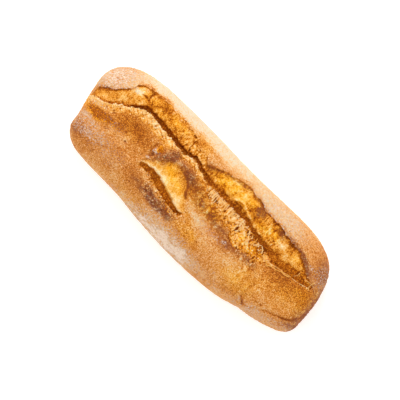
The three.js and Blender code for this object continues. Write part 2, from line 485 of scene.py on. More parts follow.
@dataclass(frozen=True)
class Split:
    """A tear in the crust: a torn band, a sharp lip, a crack and a slope up to the far lip."""

    tear: Line
    lip: Line
    far_lip: Line
    depth: Line
    tear_drop: Line
    lip_drop: Line
    far_drop: Line
    tear_blend: Line
    far_blend: Line
    fray: Line
    band_texture: Line
    slope_texture: Line
    crack_width: Line
    step: Line
    slope_power: float = 2.2
    grooves: Marks = ()
    holes: tuple[Hole, ...] = ()
    raggedness: float = 0.9
    undercut: float = 1.0
    far_undercut: float = 0.3
    crust_thickness: float = 1.0
    curl: float = 0.5
    curl_width: float = 2.6

    def places(self, x: Array, y: Array, noise: Noise) -> SplitPlaces:
        """Where points of the plan lie in the split, with its ragged edges.

        Args:
            x: Places along the loaf.
            y: Places across the loaf.
            noise: Makes the edges ragged.

        Returns:
            The points' places.
        """
        rough = self.raggedness
        frayed = self.fray.at(x) * noise.layers((3.4, 6.0), 2, x, y + 11.0)
        x = x + rough * noise.layers((7.0, 7.0), 3, x, y + 31.0)
        y = y + rough * noise.layers((5.0, 5.0), 3, x + 53.0, y)
        y = y + 0.8 * rough * noise.at((2.2, 2.2), x + 80.0, y)
        lip, far = self.lip.at(x) + 0.3 * frayed, self.far_lip.at(x)
        tear = np.minimum(self.tear.at(x) + frayed, lip - 0.3)
        crack = np.minimum(self.crack_width.at(x), 0.6 * (far - lip))
        ends = np.maximum(self.lip.start - x, x - self.lip.end)
        return SplitPlaces(
            band=np.clip((y - tear) / np.maximum(lip - tear, 0.3), 0.0, 1.0),
            slope=np.clip((y - lip - crack) / np.maximum(far - lip - crack, 0.3), 0.0, 1.0),
            before_band=tear - y,
            past_lip=y - lip,
            past_crack=y - lip - crack,
            past_far=y - far,
            past_ends=ends,
            along=x,
        )

    def lift(self, places: SplitPlaces) -> Array:
        """How far the crust curls up beside the far lip.

        Args:
            places: Where the points lie in the split.

        Returns:
            A height for each point.
        """
        outside = np.exp(-np.clip(places.past_far, 0.0, None) / self.curl_width)
        within = smooth_step(-6.0, 0.0, places.past_far) * smooth_step(3.0, -3.0, places.past_ends)
        return self.curl * outside * within * smooth_step(2.6, 0.8, self.far_blend.at(places.along))

    def relief(self, x: Array, y: Array, texture: Array, noise: Noise) -> Array:
        """The torn dough's relief, in millimetres either way.

        Args:
            x: Places along the loaf.
            y: Places across the loaf.
            texture: A Texture at each place, or a value between two.
            noise: Gives the lumps and strings.

        Returns:
            The height above the smooth torn surface.
        """
        lumps = 0.9 * noise.puffs((3.8, 3.4), 2, x, y)
        bend = 1.5 * noise.layers((6.0, 6.0), 2, x + 7.0, y)
        strings = 0.9 - 2.3 * np.abs(noise.layers((2.6, 9.0), 2, x + bend, y + 70.0))
        gaps = smooth_step(0.0, 0.6, noise.layers((4.2, 6.0), 2, x + 90.0, y + 15.0))
        strings = 1.1 * strings - 1.9 * gaps
        folds = 0.75 * noise.layers((4.5, 8.0), 3, x, y + 140.0)
        return (Texture.CRUMBLY.share(texture) * lumps + Texture.STRINGY.share(texture) * strings
                + Texture.SILKY.share(texture) * folds)

    def texture(self, places: SplitPlaces, x: Array) -> Array:
        """The Texture at each place; strings only hang from the sharp lip."""
        band = self.band_texture.at(x) * smooth_step(0.15, 0.5, places.band)
        return np.where(places.past_lip < 0.0, band, self.slope_texture.at(x))

    def band_floor(self, places: SplitPlaces, x: Array, y: Array, noise: Noise) -> Array:
        """How far the torn band lies below the crust.

        Args:
            places: Where the points lie in the split.
            x: Places along the loaf.
            y: Places across it.
            noise: Gives the torn relief.

        Returns:
            A depth for each point.
        """
        along = places.along
        drop = mix(self.tear_drop.at(along), self.lip_drop.at(along), places.band)
        fade = smooth_step(0.0, 0.35, places.band)
        relief = self.relief(x, y, self.texture(places, x), noise)
        return np.clip(drop - fade * relief, 0.0, None)

    def slope_floor(self, places: SplitPlaces, x: Array, y: Array, noise: Noise) -> Array:
        """How far the crack and the torn slope lie below the crust.

        Args:
            places: Where the points lie in the split.
            x: Places along the loaf.
            y: Places across it.
            noise: Gives the torn relief.

        Returns:
            A depth for each point.
        """
        rise = 1.0 - (1.0 - places.slope) ** self.slope_power
        rise = mix(rise, 1.0, self.step.at(x) * smooth_step(0.0, 0.12, places.slope))
        depth = self.depth.at(places.along)
        drop = mix(depth, np.minimum(self.far_drop.at(places.along), depth), rise)
        fade = smooth_step(0.0, 0.15, places.slope) * smooth_step(0.0, 5.0, depth)
        fade = fade * smooth_step(0.0, 1.5, drop)
        relief = self.relief(x, y, self.slope_texture.at(x), noise)
        pressed = sum_marks(self.grooves, x, y) * smooth_step(0.0, 3.0, depth)
        return np.clip(drop - fade * relief + pressed, 0.05, None)

    def torn(self, places: SplitPlaces, below: Array, ragged: Array) -> Array:
        """How torn the surface is.

        Args:
            places: Where the points lie in the split.
            below: How far they lie below the untorn crust.
            ragged: Noise that makes the soft edges uneven.

        Returns:
            0 on crust to 1 on torn crumb.
        """
        tear, far = self.tear_blend.at(places.along), self.far_blend.at(places.along)
        overhang = 1.4 * self.far_undercut * smooth_step(0.4, 1.0, below)
        inside = smooth_step(-tear, tear, tear * ragged - places.before_band)
        inside = inside * smooth_step(far, -far, far * ragged + places.past_far - overhang)
        inside = inside * smooth_step(0.6, -0.3, places.past_ends)
        blend = np.where(places.past_lip < 0.0, tear, far)
        open_air = np.maximum(smooth_step(0.35, 0.75, below), smooth_step(0.8, 1.6, blend))
        return inside * open_air


class Block:
    """The bread as a block of small cells, each knowing how far it is from the surface."""

    # How far the block reaches above the loaf, the steepest slope that a cut's distances allow
    # for, and how far round a hole the cells are changed.
    HEADROOM = 6.0
    STEEPEST = 3.0
    MARGIN = 1.5

    def __init__(self, plan: Plan, fine_above: float, coarse_pitch: float) -> None:
        """Fills the block with the whole, untorn loaf.

        Args:
            plan: The maps that the loaf is raised from.
            fine_above: Height above which the cells are as fine as the plan's.
            coarse_pitch: Height of the cells below that.
        """
        top = plan.form.height + self.HEADROOM
        coarse = np.arange(-2.0 * coarse_pitch, fine_above, coarse_pitch)
        fine = np.arange(fine_above, top, plan.pitch)
        self.plan = plan
        self.zs = np.concatenate([coarse, fine])
        self.first_fine = len(coarse)
        self.values = self._whole_loaf()

    def _whole_loaf(self) -> Array:
        """Distance outside the untorn loaf at every cell, negative inside it.

        Returns:
            The distances, as a block of numbers.
        """
        form, plan = self.plan.form, self.plan
        values = np.empty((*plan.x.shape, len(self.zs)), np.float32)
        for level, z in enumerate(self.zs):
            if z >= form.waist:
                reach, rise, power = plan.shoulder, plan.crown - form.waist, form.shoulder_power
            else:
                reach, rise, power = form.foot_radius, form.waist, form.foot_power
            inwards = np.clip(1.0 - plan.inset / reach, 0.0, None)
            upwards = abs(z - form.waist) / rise
            size = (inwards ** power + upwards ** power) ** (1.0 / power)
            size = np.maximum(size, 1e-3)
            steep = size ** (1.0 - power)
            slope_in = steep * inwards ** (power - 1.0) / reach
            slope_up = steep * upwards ** (power - 1.0) / rise
            values[:, :, level] = (size - 1.0) / np.hypot(slope_in, slope_up).clip(1e-3)
        return values

    def cut(self, split: Split, crust: Array, places: SplitPlaces, noise: Noise) -> Array:
        """Cuts a split out of the block.

        Args:
            split: The split.
            crust: The crust's height on the plan.
            places: Where the plan's points lie in the split.
            noise: Gives the torn relief.

        Returns:
            The height of the torn surface on the plan, for placing holes.
        """
        plan = self.plan
        floors = [
            crust - split.band_floor(places, plan.x, plan.y, noise),
            crust - split.slope_floor(places, plan.x, plan.y, noise),
        ]
        steepness = [
            np.hypot(1.0, np.hypot(*np.gradient(floor, plan.pitch))).clip(1.0, self.STEEPEST)
            for floor in floors]
        for level in range(self.first_fine, len(self.zs)):
            z = self.zs[level]
            under = split.undercut * smooth_step(0.0, 1.4, crust - split.crust_thickness - z)
            in_band = np.maximum.reduce([
                (floors[0] - z) / steepness[0], places.before_band, places.past_lip - 1.0])
            in_slope = np.maximum.reduce([
                (floors[1] - z) / steepness[1], -places.past_lip - under,
                places.past_far - under * split.far_undercut / split.undercut])
            opening = np.maximum(np.minimum(in_band, in_slope), places.past_ends)
            self.values[:, :, level] = np.maximum(self.values[:, :, level], -opening)
        return np.where(places.past_lip > 0.0, floors[1], floors[0])

    def dig(self, centre: Array, radii: Array) -> None:
        """Digs an egg-shaped hole.

        Args:
            centre: Where its middle is.
            radii: Its half size along each axis.
        """
        axes = (self.plan.xs, self.plan.ys, self.zs)
        windows = []
        for axis, middle, radius in zip(axes, centre, radii):
            reach = radius + self.MARGIN
            windows.append(slice(*np.searchsorted(axis, (middle - reach, middle + reach))))
        x, y, z = (axis[window] for axis, window in zip(axes, windows))
        size = np.sqrt(
            ((x - centre[0]) / radii[0])[:, None, None] ** 2
            + ((y - centre[1]) / radii[1])[None, :, None] ** 2
            + ((z - centre[2]) / radii[2])[None, None, :] ** 2)
        hole = ((size - 1.0) * min(radii)).astype(np.float32)
        part = self.values[windows[0], windows[1], windows[2]]
        np.maximum(part, -hole, out=part)

    def surface(self) -> tuple[Array, Array]:
        """The surface between the cells inside and outside, by surface nets.

        Returns:
            Its points, one in each row, and its four-sided faces, facing out.
        """
        axes = (self.plan.xs, self.plan.ys, self.zs)
        inside = self.values < 0.0
        shape = tuple(size - 1 for size in self.values.shape)
        strides = (shape[1] * shape[2], shape[2], 1)
        cells, crossings, faces = [], [], []
        for axis in range(3):
            low = [slice(None)] * 3
            high = [slice(None)] * 3
            low[axis], high[axis] = slice(0, -1), slice(1, None)
            edge = np.argwhere(inside[tuple(low)] != inside[tuple(high)])
            ahead = edge.copy()
            ahead[:, axis] += 1
            start = self.values[tuple(edge.T)]
            end = self.values[tuple(ahead.T)]
            share = start / (start - end)
            place = np.stack([axes[k][edge[:, k]] for k in range(3)], 1)
            step = axes[axis][ahead[:, axis]] - axes[axis][edge[:, axis]]
            place[:, axis] += share * step
            base = edge @ np.array(strides)
            second, third = strides[(axis + 1) % 3], strides[(axis + 2) % 3]
            around = np.stack([base - second - third, base - third, base, base - second], 1)
            outward = inside[tuple(edge.T)]
            faces.append(np.where(outward[:, None], around, around[:, ::-1]))
            cells.append(around.ravel())
            crossings.append(np.repeat(place, 4, 0))
        crossings = np.concatenate(crossings)
        used, index = np.unique(np.concatenate(cells), return_inverse=True)
        points = gather(index, crossings, len(used)) / np.bincount(index)[:, None]
        return points, np.searchsorted(used, np.concatenate(faces))


def largest_piece(points: Array, faces: Array) -> tuple[Array, Array]:
    """Drops everything that isn't joined to the largest piece of a mesh.

    Args:
        points: The mesh's points, one in each row.
        faces: Its four-sided faces.

    Returns:
        The points and faces that are left.
    """
    label = np.arange(len(points))
    starts, ends = faces.ravel(), np.roll(faces, -1, 1).ravel()
    while True:
        lowest = np.minimum(label[starts], label[ends])
        joined = label.copy()
        np.minimum.at(joined, label[starts], lowest)
        np.minimum.at(joined, label[ends], lowest)
        joined = joined[joined[joined]]
        if np.array_equal(joined, label):
            break
        label = joined
    kept = label == np.bincount(label).argmax()
    renumber = np.cumsum(kept) - 1
    return points[kept], renumber[faces[kept[faces[:, 0]]]]


def gather(places: Array, rows: Array, count: int) -> Array:
    """Adds up rows of three numbers that share a place.

    Args:
        places: The place that each row goes to.
        rows: The rows.
        count: How many places there are.

    Returns:
        The sum at each place, one in each row.
    """
    return np.stack([np.bincount(places, rows[:, axis], count) for axis in range(3)], 1)


def add_object(name: str, data: bpy.types.ID) -> Piece:
    """Puts a new object in the scene.

    Args:
        name: The object's name.
        data: Its mesh, light or camera.

    Returns:
        The object.
    """
    made = bpy.data.objects.new(name, data)
    bpy.context.scene.collection.objects.link(made)
    return made


def carry(mesh: bpy.types.Mesh, name: str, values: Array) -> None:
    """Gives a mesh a named number at each of its points."""
    layer = mesh.attributes.new(name, "FLOAT", "POINT")
    layer.data.foreach_set("value", values.astype(np.float32))


def read_rows(collection: bpy.types.bpy_prop_collection, name: str, width: int,
              kind: type = np.float32) -> Array:
    """Reads one property of everything in a mesh collection, one item in each row.

    Args:
        collection: The mesh's points, edges or such.
        name: The property's name.
        width: How many numbers each item has.
        kind: Their type.

    Returns:
        The numbers, one item in each row.
    """
    values = np.empty(len(collection) * width, kind)
    collection.foreach_get(name, values)
    return values.reshape(-1, width)


def hollowness(points: Array, normals: Array, edges: Array, rounds: int = 7) -> Array:
    """How far the surface round each point stands above it.

    Args:
        points: A mesh's points, one in each row.
        normals: The way out at each point.
        edges: The pairs of points that are joined.
        rounds: How many times the surface is smoothed for the comparison.

    Returns:
        Millimetres, more than 0 in hollows and less than 0 on crests.
    """
    starts = np.concatenate([edges[:, 0], edges[:, 1]])
    ends = np.concatenate([edges[:, 1], edges[:, 0]])
    count = np.bincount(starts, minlength=len(points)).clip(1)[:, None]
    smooth = points
    for _ in range(rounds if len(edges) else 0):
        smooth = gather(starts, smooth[ends], len(points)) / count
    return ((smooth - points) * normals).sum(1)


def paint(red: int, green: int, blue: int) -> tuple[float, float, float, float]:
    """A colour as it looks on a screen, from 0 to 255, in the linear values that Blender takes.

    Args:
        red: How red.
        green: How green.
        blue: How blue.

    Returns:
        The linear colour, with full opacity.
    """
    channels = []
    for value in (red, green, blue):
        share = value / 255.0
        channels.append(share / 12.92 if share <= 0.04045 else ((share + 0.055) / 1.055) ** 2.4)
    return (*channels, 1.0)


def stops(*rows: tuple[float, int, int, int]) -> tuple:
    """Colour stops from rows of a place and a colour as it looks on a screen."""
    return tuple((place, paint(*colour)) for place, *colour in rows)


class Value:
    """A number in a tree of nodes, which Python's arithmetic can be written on."""

    def __init__(self, tree: "Tree", socket: Socket) -> None:
        """Wraps a socket."""
        self.tree = tree
        self.socket = socket

    @staticmethod
    def _joins(operation: str, swapped: bool = False) -> Callable[["Value", object], "Value"]:
        """An operator that joins two numbers by a Math node, this one second if swapped.

        Args:
            operation: The node's operation.
            swapped: Whether this number comes second.

        Returns:
            The operator.
        """
        def join(this: "Value", other: object) -> "Value":
            """Joins this number and another."""
            pair = (other, this) if swapped else (this, other)
            return this.tree.value("ShaderNodeMath", {"operation": operation}, dict(enumerate(pair)))
        return join

    __add__, __radd__ = _joins("ADD"), _joins("ADD", True)
    __sub__, __rsub__ = _joins("SUBTRACT"), _joins("SUBTRACT", True)
    __mul__, __rmul__ = _joins("MULTIPLY"), _joins("MULTIPLY", True)
    __pow__ = _joins("POWER")

    def clamped(self) -> "Value":
        """The number kept between 0 and 1."""
        return self.tree.value(
            "ShaderNodeMath", {"operation": "ADD", "use_clamp": True}, {0: self, 1: 0.0})

    def stepped(self, low: float, high: float) -> "Value":
        """A smooth rise from 0 at low to 1 at high.

        Args:
            low: Where the rise starts.
            high: Where it ends.

        Returns:
            The risen number.
        """
        settings = {"interpolation_type": "SMOOTHSTEP"}
        return self.tree.value("ShaderNodeMapRange", settings, {
            "Value": self, "From Min": low, "From Max": high})


class Tree:
    """Builds a tree of nodes."""

    def __init__(self, tree: bpy.types.NodeTree) -> None:
        """Starts with nothing in the tree."""
        self.tree = tree
        self.tree.nodes.clear()

    def add(self, kind: str, settings: dict, inputs: dict) -> bpy.types.Node:
        """Adds a node.

        Args:
            kind: The node's type.
            settings: What is set on the node itself; stops are a colour ramp's.
            inputs: Values, wrapped values or sockets for its inputs, by name or number.

        Returns:
            The node.
        """
        node = self.tree.nodes.new(kind)
        for name, setting in settings.items():
            if name == "stops":
                self._set_stops(node.color_ramp, setting)
            else:
                setattr(node, name, setting)
        for name, value in inputs.items():
            value = value.socket if isinstance(value, Value) else value
            if isinstance(value, Socket):
                self.tree.links.new(value, node.inputs[name])
            else:
                node.inputs[name].default_value = value
        return node

    @staticmethod
    def _set_stops(ramp: bpy.types.ColorRamp, stops: tuple) -> None:
        """Gives a colour ramp its stops.

        Args:
            ramp: The colour ramp.
            stops: Its places and colours.
        """
        while len(ramp.elements) < len(stops):
            ramp.elements.new(1.0)
        for element, (place, colour) in zip(ramp.elements, stops):
            element.position = place
            element.color = colour

    def value(self, kind: str, settings: dict, inputs: dict, output: str | int = 0) -> Value:
        """Adds a node and wraps one of its outputs."""
        return Value(self, self.add(kind, settings, inputs).outputs[output])


class Shader(Tree):
    """Builds one material's nodes."""

    def __init__(self, name: str) -> None:
        """Starts a material with nothing but its place on the object.

        Args:
            name: The material's name.
        """
        self.material = bpy.data.materials.new(name)
        self.material.use_nodes = True
        super().__init__(self.material.node_tree)
        self.place = self.add("ShaderNodeTexCoord", {}, {}).outputs["Object"]

    def attribute(self, name: str) -> Value:
        """Reads a number that the mesh carries."""
        return self.value("ShaderNodeAttribute", {"attribute_name": name}, {}, "Fac")

    def grain(self, size: float, detail: float = 4.0, stretch: tuple = (1.0, 1.0, 1.0)) -> Value:
        """Noise around 0, from about -0.5 to 0.5.

        Args:
            size: The size of its grains, in millimetres.
            detail: How many finer layers it has.
            stretch: How many times longer the grains are along each axis.

        Returns:
            The noise.
        """
        scale = tuple(1.0 / axis for axis in stretch)
        place = self.add("ShaderNodeMapping", {}, {"Vector": self.place, "Scale": scale})
        noise = self.value("ShaderNodeTexNoise", {}, {
            "Vector": place.outputs[0], "Scale": 1.0 / (size * MM), "Detail": detail,
            "Roughness": 0.6}, "Fac")
        return noise - 0.5

    def ramp(self, place: Value, stops: tuple) -> Socket:
        """A colour read from stops."""
        return self.add("ShaderNodeValToRGB", {"stops": stops}, {"Fac": place}).outputs["Color"]

    def blend(self, share: Value, low: object, high: object) -> Socket:
        """Mixes two colours.

        Args:
            share: How much of the second there is.
            low: The first colour.
            high: The second colour.

        Returns:
            The mixed colour.
        """
        node = self.add("ShaderNodeMix", {"data_type": "RGBA"}, {
            "Factor": share, 6: low, 7: high})
        return node.outputs[2]

    def finish(self, settings: dict) -> bpy.types.Material:
        """Adds the surface shader and the output.

        Args:
            settings: The surface shader's inputs.

        Returns:
            The finished material.
        """
        surface = self.add("ShaderNodeBsdfPrincipled", {}, settings)
        self.add("ShaderNodeOutputMaterial", {}, {"Surface": surface.outputs[0]})
        return self.material


# The most flour that a mask can hold, and how light passes into bread.
THICKEST = 1.5
BREAD_LIGHT = {
    "Specular IOR Level": 0.1, "Subsurface Weight": 0.12, "Subsurface Radius": (1.0, 0.5, 0.2),
}
CRUMB_STOPS = stops(
    (0.00, 250, 224, 176), (0.15, 247, 207, 146), (0.30, 243, 190, 114), (0.45, 238, 174, 82),
    (0.60, 229, 151, 48), (0.75, 206, 120, 18), (0.90, 168, 85, 2), (1.00, 130, 60, 0),
)
GOLD_STOPS = stops(
    (0.00, 253, 230, 174), (0.20, 252, 214, 134), (0.40, 252, 194, 72), (0.55, 250, 175, 32),
    (0.70, 234, 146, 12), (0.85, 202, 108, 4), (1.00, 148, 72, 0),
)


@dataclass(frozen=True)
class BreadFinish:
    """Baked crust and torn crumb, from the masks that the bread's mesh carries."""

    name: str = "baked_bread"
    crust_stops: tuple = stops(
        (0.00, 221, 205, 178), (0.12, 226, 198, 155), (0.25, 232, 184, 124), (0.38, 228, 164, 95),
        (0.50, 219, 144, 66), (0.60, 206, 126, 45), (0.70, 193, 111, 32), (0.80, 178, 95, 23),
        (0.90, 157, 80, 18), (1.00, 127, 62, 17),
    )
    char_dark: tuple = paint(94, 45, 22)
    char_light: tuple = paint(160, 86, 44)
    thin_flour: tuple = paint(214, 193, 174)
    thick_flour: tuple = paint(248, 222, 198)
    roughness: float = 0.62

    def material(self) -> bpy.types.Material:
        """Builds the material.

        Returns:
            The material.
        """
        shader = Shader(self.name)
        torn, bake = shader.attribute("torn"), shader.attribute("bake")
        flour, char = shader.attribute("flour") * THICKEST, shader.attribute("char")
        gold = shader.attribute("gold")
        mottle, speck = shader.grain(2.6), shader.grain(0.9, 2.0)
        fibre = shader.grain(1.2, 3.0, (1.0, 3.0, 3.0))
        grain = mottle * 0.4 + speck * (1.9 - 0.4 * torn) + fibre * (torn * 0.4 + 0.3)
        # The bake mask holds the painted shade and highlight as well as the browning.
        tone = (bake + grain).clamped()
        crumb = shader.ramp(tone, CRUMB_STOPS)
        colour = shader.blend(torn, shader.ramp(tone, self.crust_stops), crumb)
        share = (gold * (1.0 + mottle * 0.9)).clamped()
        colour = shader.blend(share, colour, shader.ramp(tone, GOLD_STOPS))
        burnt = (char * (1.15 + mottle * 4.5 + speck * 6.0)).clamped()
        scorch = (0.5 + speck * 8.0 + mottle * 1.5).clamped()
        scorch = shader.blend(scorch, self.char_dark, self.char_light)
        colour = shader.blend(burnt, colour, scorch)
        fleck = shader.grain(1.6, 2.0)
        dust = (flour + (fleck * 4.2 + speck * 6.0) - 0.45).stepped(-0.12, 0.75)
        dust = (dust * flour.stepped(0.0, 0.2) * 0.9).clamped()
        heaped = (flour + fleck * 3.0 + speck * 4.0 + mottle).stepped(0.9, 1.5)
        white = shader.blend(heaped, self.thin_flour, self.thick_flour)
        colour = shader.blend(dust, colour, white)
        roughness = (0.16 * dust + 0.12 * torn + self.roughness + speck * 0.2).clamped()
        height = mottle * 0.5 + speck * 0.9 + fibre * 0.5 + dust * 0.2
        bump = shader.add("ShaderNodeBump", {}, {
            "Height": height, "Strength": 0.75, "Distance": 1.0 * MM})
        return shader.finish({
            "Base Color": colour, "Roughness": roughness, "Normal": bump.outputs[0],
            "Subsurface Scale": 0.8 * MM, **BREAD_LIGHT})


@dataclass(frozen=True)
class CrumbFinish:
    """Loose or stringy crumb; each crumb or strand carries its own tone."""

    name: str = "crumb"
    roughness: float = 0.6

    def material(self) -> bpy.types.Material:
        """Builds the material.

        Returns:
            The material.
        """
        shader = Shader(self.name)
        tone = (shader.attribute("tone") + shader.grain(1.4, 2.0) * 0.35).clamped()
        return shader.finish({
            "Base Color": shader.ramp(tone, CRUMB_STOPS), "Roughness": self.roughness,
            "Subsurface Scale": 1.0 * MM, **BREAD_LIGHT})


@dataclass(frozen=True)
class FlourFinish:
    """Dry white flour."""

    name: str = "flour"
    colour: tuple = paint(238, 224, 212)
    roughness: float = 0.85

    def material(self) -> bpy.types.Material:
        """Builds the material."""
        return Shader(self.name).finish({"Base Color": self.colour, "Roughness": self.roughness})


LONG_SPLIT = Split(
    tear=Line((
        (-137, -5), (-128, -6.5), (-123, -4), (-118, -2.5), (-113, 0), (-108, 5), (-103, 9.5),
        (-98, 12.5), (-90, 15.2), (-80, 15.4), (-72, 13.5), (-57, 12.5), (-50, 14), (-46.5, 19.5),
        (-41, 18.6), (-38, 16.5), (-31, 17.5), (-23, 15.5), (-17, 12.8), (-10, 11.2), (-1, 9.5), (8, 7),
        (17, 3.3), (26, 1.4), (35, 0.5), (40, -3), (44, -6), (48, -8.5), (53, -7.5), (59, -6.8), (62, -3),
        (67, -4), (73, -5.8), (77, -2.2), (80, 0.5), (86, 2.5), (92, 6), (98, 7.8), (107, 9.5),
        (121, 12.3), (127, 14),
    )),
    lip=Line((
        (-137, -1.5), (-129, 1.4), (-121, 3.8), (-116.5, 7.2), (-109.5, 12), (-102, 16.8), (-97.5, 20),
        (-92, 23.2), (-83, 23.8), (-74, 23.2), (-65, 21.8), (-51, 20.5), (-40, 19.2), (-31, 23.2),
        (-23, 21.4), (-17, 18.6), (-6, 16.2), (-1, 16.8), (17, 16.3), (39, 15.9), (49, 14.8), (57, 12.3),
        (66, 10.6), (76, 9), (84, 6.2), (90, 5.6), (96, 7.8), (107, 9.2), (117, 10.8), (127, 14),
    )),
    far_lip=Line((
        (-137, 9), (-132, 13), (-127, 15.5), (-118.5, 24), (-115.4, 27), (-113.6, 30), (-113, 34.2),
        (-110.4, 36.6), (-106.8, 39.7), (-94, 41.2), (-78, 43), (-64, 42), (-55, 41), (-46, 39.8),
        (-39, 37.6), (-34.5, 33), (-28, 34), (-22, 32.6), (-19, 28.5), (-16.5, 26.7), (-8.4, 32),
        (-1, 35.3), (8, 37), (17, 39.8), (26, 40.8), (35, 39.4), (42, 38.4), (48.5, 35.4), (57.5, 35.2),
        (66.5, 35.8), (75.5, 34), (84.6, 32.6), (92, 31.7), (98, 30.8), (104, 27.2), (112, 23.6),
        (117, 20.4), (127, 17.5),
    )),
    depth=Line((
        (-137, 2), (-122, 3.5), (-106, 4.6), (-98, 6.6), (-45, 7), (-28, 7), (-18, 6.6), (0, 7), (45, 7),
        (66, 6.6), (80, 5.6), (105, 4.6), (127, 1.5),
    )),
    tear_drop=Line((
        (-137, 0.1), (-45, 0.15), (-15, 0.5), (0, 1.6), (60, 1.8), (85, 0.8), (127, 0.6),
    )),
    lip_drop=Line((
        (-137, 0.7), (-30, 1), (-10, 1.6), (5, 2.6), (70, 3.4), (95, 1.6), (127, 0.8),
    )),
    far_drop=Line((
        (-137, 1.6), (-112, 1.5), (-104, 0.8), (-60, 0.7), (-45, 0.8), (-12, 1.1), (0, 1.3), (40, 1.4),
        (60, 1.8), (90, 2), (127, 0.9),
    )),
    tear_blend=Line((
        (-137, 1.2), (-60, 1.6), (-30, 1.6), (-12, 1.2), (0, 0.5), (85, 0.5), (127, 0.4),
    )),
    far_blend=Line((
        (-137, 0.4), (-114, 0.5), (-106, 1), (-60, 1.1), (-48, 1.6), (-36, 2.4), (-22, 1.6), (-14, 0.8),
        (40, 0.8), (70, 0.5), (127, 0.35),
    )),
    fray=Line(((-137, 0.8), (-20, 1), (0, 2.2), (60, 3), (80, 2.2), (95, 0.6), (127, 0.3))),
    band_texture=Line((
        (-137, 0), (-25, 0), (-8, 0.6), (5, 1), (38, 1), (46, 0.35), (80, 0.3), (127, 0.6),
    )),
    slope_texture=Line((
        (-137, 2), (-115, 1.9), (-60, 1.7), (-45, 1.2), (-25, 0.4), (-10, 1.5), (5, 1.8), (45, 1.7),
        (60, 1.4), (78, 1.5), (88, 1.9), (127, 2),
    )),
    crack_width=Line((
        (-137, 0.8), (-106, 1.3), (-96, 3), (-60, 3.4), (-20, 3), (-6, 3.8), (18, 3.8), (50, 3.2),
        (66, 3.8), (76, 5.4), (84, 8), (100, 8), (112, 6), (122, 3), (127, 1),
    )),
    step=Line((
        (-137, 0.2), (-110, 0.4), (-100, 0.7), (-30, 0.7), (-10, 0.45), (20, 0.3), (127, 0.3),
    )),
    grooves=marks(
        (((-104, 31.4), (-99.5, 31.8), (-96.5, 31)), 1.6, 0.8),
        (((-96.5, 39), (-97.5, 35.5), (-96, 31.5)), 1.4, 0.9), (((-79.5, 38.5), (-79, 33)), 0.9, 1.6),
        (((-70, 37), (-69.5, 32)), 0.9, 1.4), (((-52, 39), (-46, 37.5), (-41, 38.5)), 0.9, 1.2),
        (((22, 23.5), (26, 26), (31, 26.5), (36, 24), (43, 21)), -1.3, 1.2),
        (((46.5, 33), (48, 28), (47, 24)), 1.3, 2), (((60, 32), (62, 27), (65, 24)), -1, 1.2),
        (((72, 33), (74, 28)), 1, 2.2), (((78, 24), (84, 22.5), (90, 21)), -0.8, 1),
    ),
    holes=(
        Hole(28, 21.8, (5.5, 1.8, 1.4), 0.6), Hole(41.2, 6, (1.6, 3.2, 1.6), 0.9),
        Hole(51.2, 11, (1.6, 2.2, 1.4), 0.4), Hole(57.5, 6, (1.3, 3.4, 1.3), 0.3),
        Hole(62.5, 9.5, (2, 2.6, 1.6), 0.5), Hole(69, 5, (1.4, 2, 1.2), 0.2),
        Hole(72.8, -5.8, (1.2, 1.1, 1.1), 0.1), Hole(64, -3.6, (1.1, 1.2, 1), 0.1),
        Hole(53, -6.4, (1, 1.2, 0.9), 0.1), Hole(27, 4.6, (1, 1.3, 1.1), 0.1),
        Hole(72.8, 10.2, (2.6, 1.5, 1.4), 0.4), Hole(89.5, 8.4, (2.2, 1.2, 1.2), 0.3),
        Hole(110.5, 20.6, (1.3, 0.9, 1.2), 0.2),
    ),
)
SHORT_SPLIT = Split(
    tear=Line((
        (-62, -15.4), (-50, -18.2), (-42, -19.8), (-33, -23.2), (-23, -25.8), (-14, -26.2), (-3, -22.6),
    )),
    lip=Line((
        (-62, -14.2), (-50, -15.6), (-42, -16.8), (-33, -19.4), (-23, -22), (-14, -23.6), (-5, -22.9),
        (-3, -20),
    )),
    far_lip=Line((
        (-62, -8), (-57, -3), (-50, 1.6), (-46, 3.5), (-39, 8.2), (-33, 9), (-24, 7.6), (-17, 2.2),
        (-13, -6), (-6, -12.3), (-3, -16),
    )),
    depth=Line((
        (-62, 1.6), (-57, 2.8), (-50, 3.8), (-42, 4.8), (-30, 5.4), (-15, 5.4), (-7, 4.4), (-3, 1.5),
    )),
    tear_drop=Line(((-62, 0.2), (-3, 0.3))),
    lip_drop=Line(((-62, 0.6), (-3, 0.8))),
    far_drop=Line(((-62, 0.6), (-3, 0.3))),
    tear_blend=Line(((-62, 1), (-3, 1.1))),
    far_blend=Line(((-62, 0.9), (-46, 0.9), (-36, 2.2), (-20, 2.8), (-3, 2))),
    fray=Line(((-62, 0.8), (-3, 0.8))),
    band_texture=Line(((-62, Texture.CRUMBLY), (-3, Texture.CRUMBLY))),
    slope_texture=Line(((-62, Texture.SILKY), (-3, Texture.SILKY))),
    crack_width=Line((
        (-62, 2.6), (-52, 6.2), (-42, 6.8), (-33, 6.4), (-23, 5.4), (-14, 4.6), (-3, 1.5),
    )),
    step=Line(((-62, 0.75), (-3, 0.75))),
    slope_power=1.8,
    raggedness=0.7,
    far_undercut=0.0,
    curl=0.0,
)


# Where the loaf turns into its square end, along it; where its side turns low, and where the
# underside starts, above the table. Then how far the edges of marks wander, and the half width
# under which a mark keeps nearly to its place.
SQUARE_END = (128.0, 138.0)
LOW_SIDE = (26.0, 10.0)
UNDERSIDE = (1.5, 0.2)
DRIFT = 3.0
SMALL_PATCH = 4.5


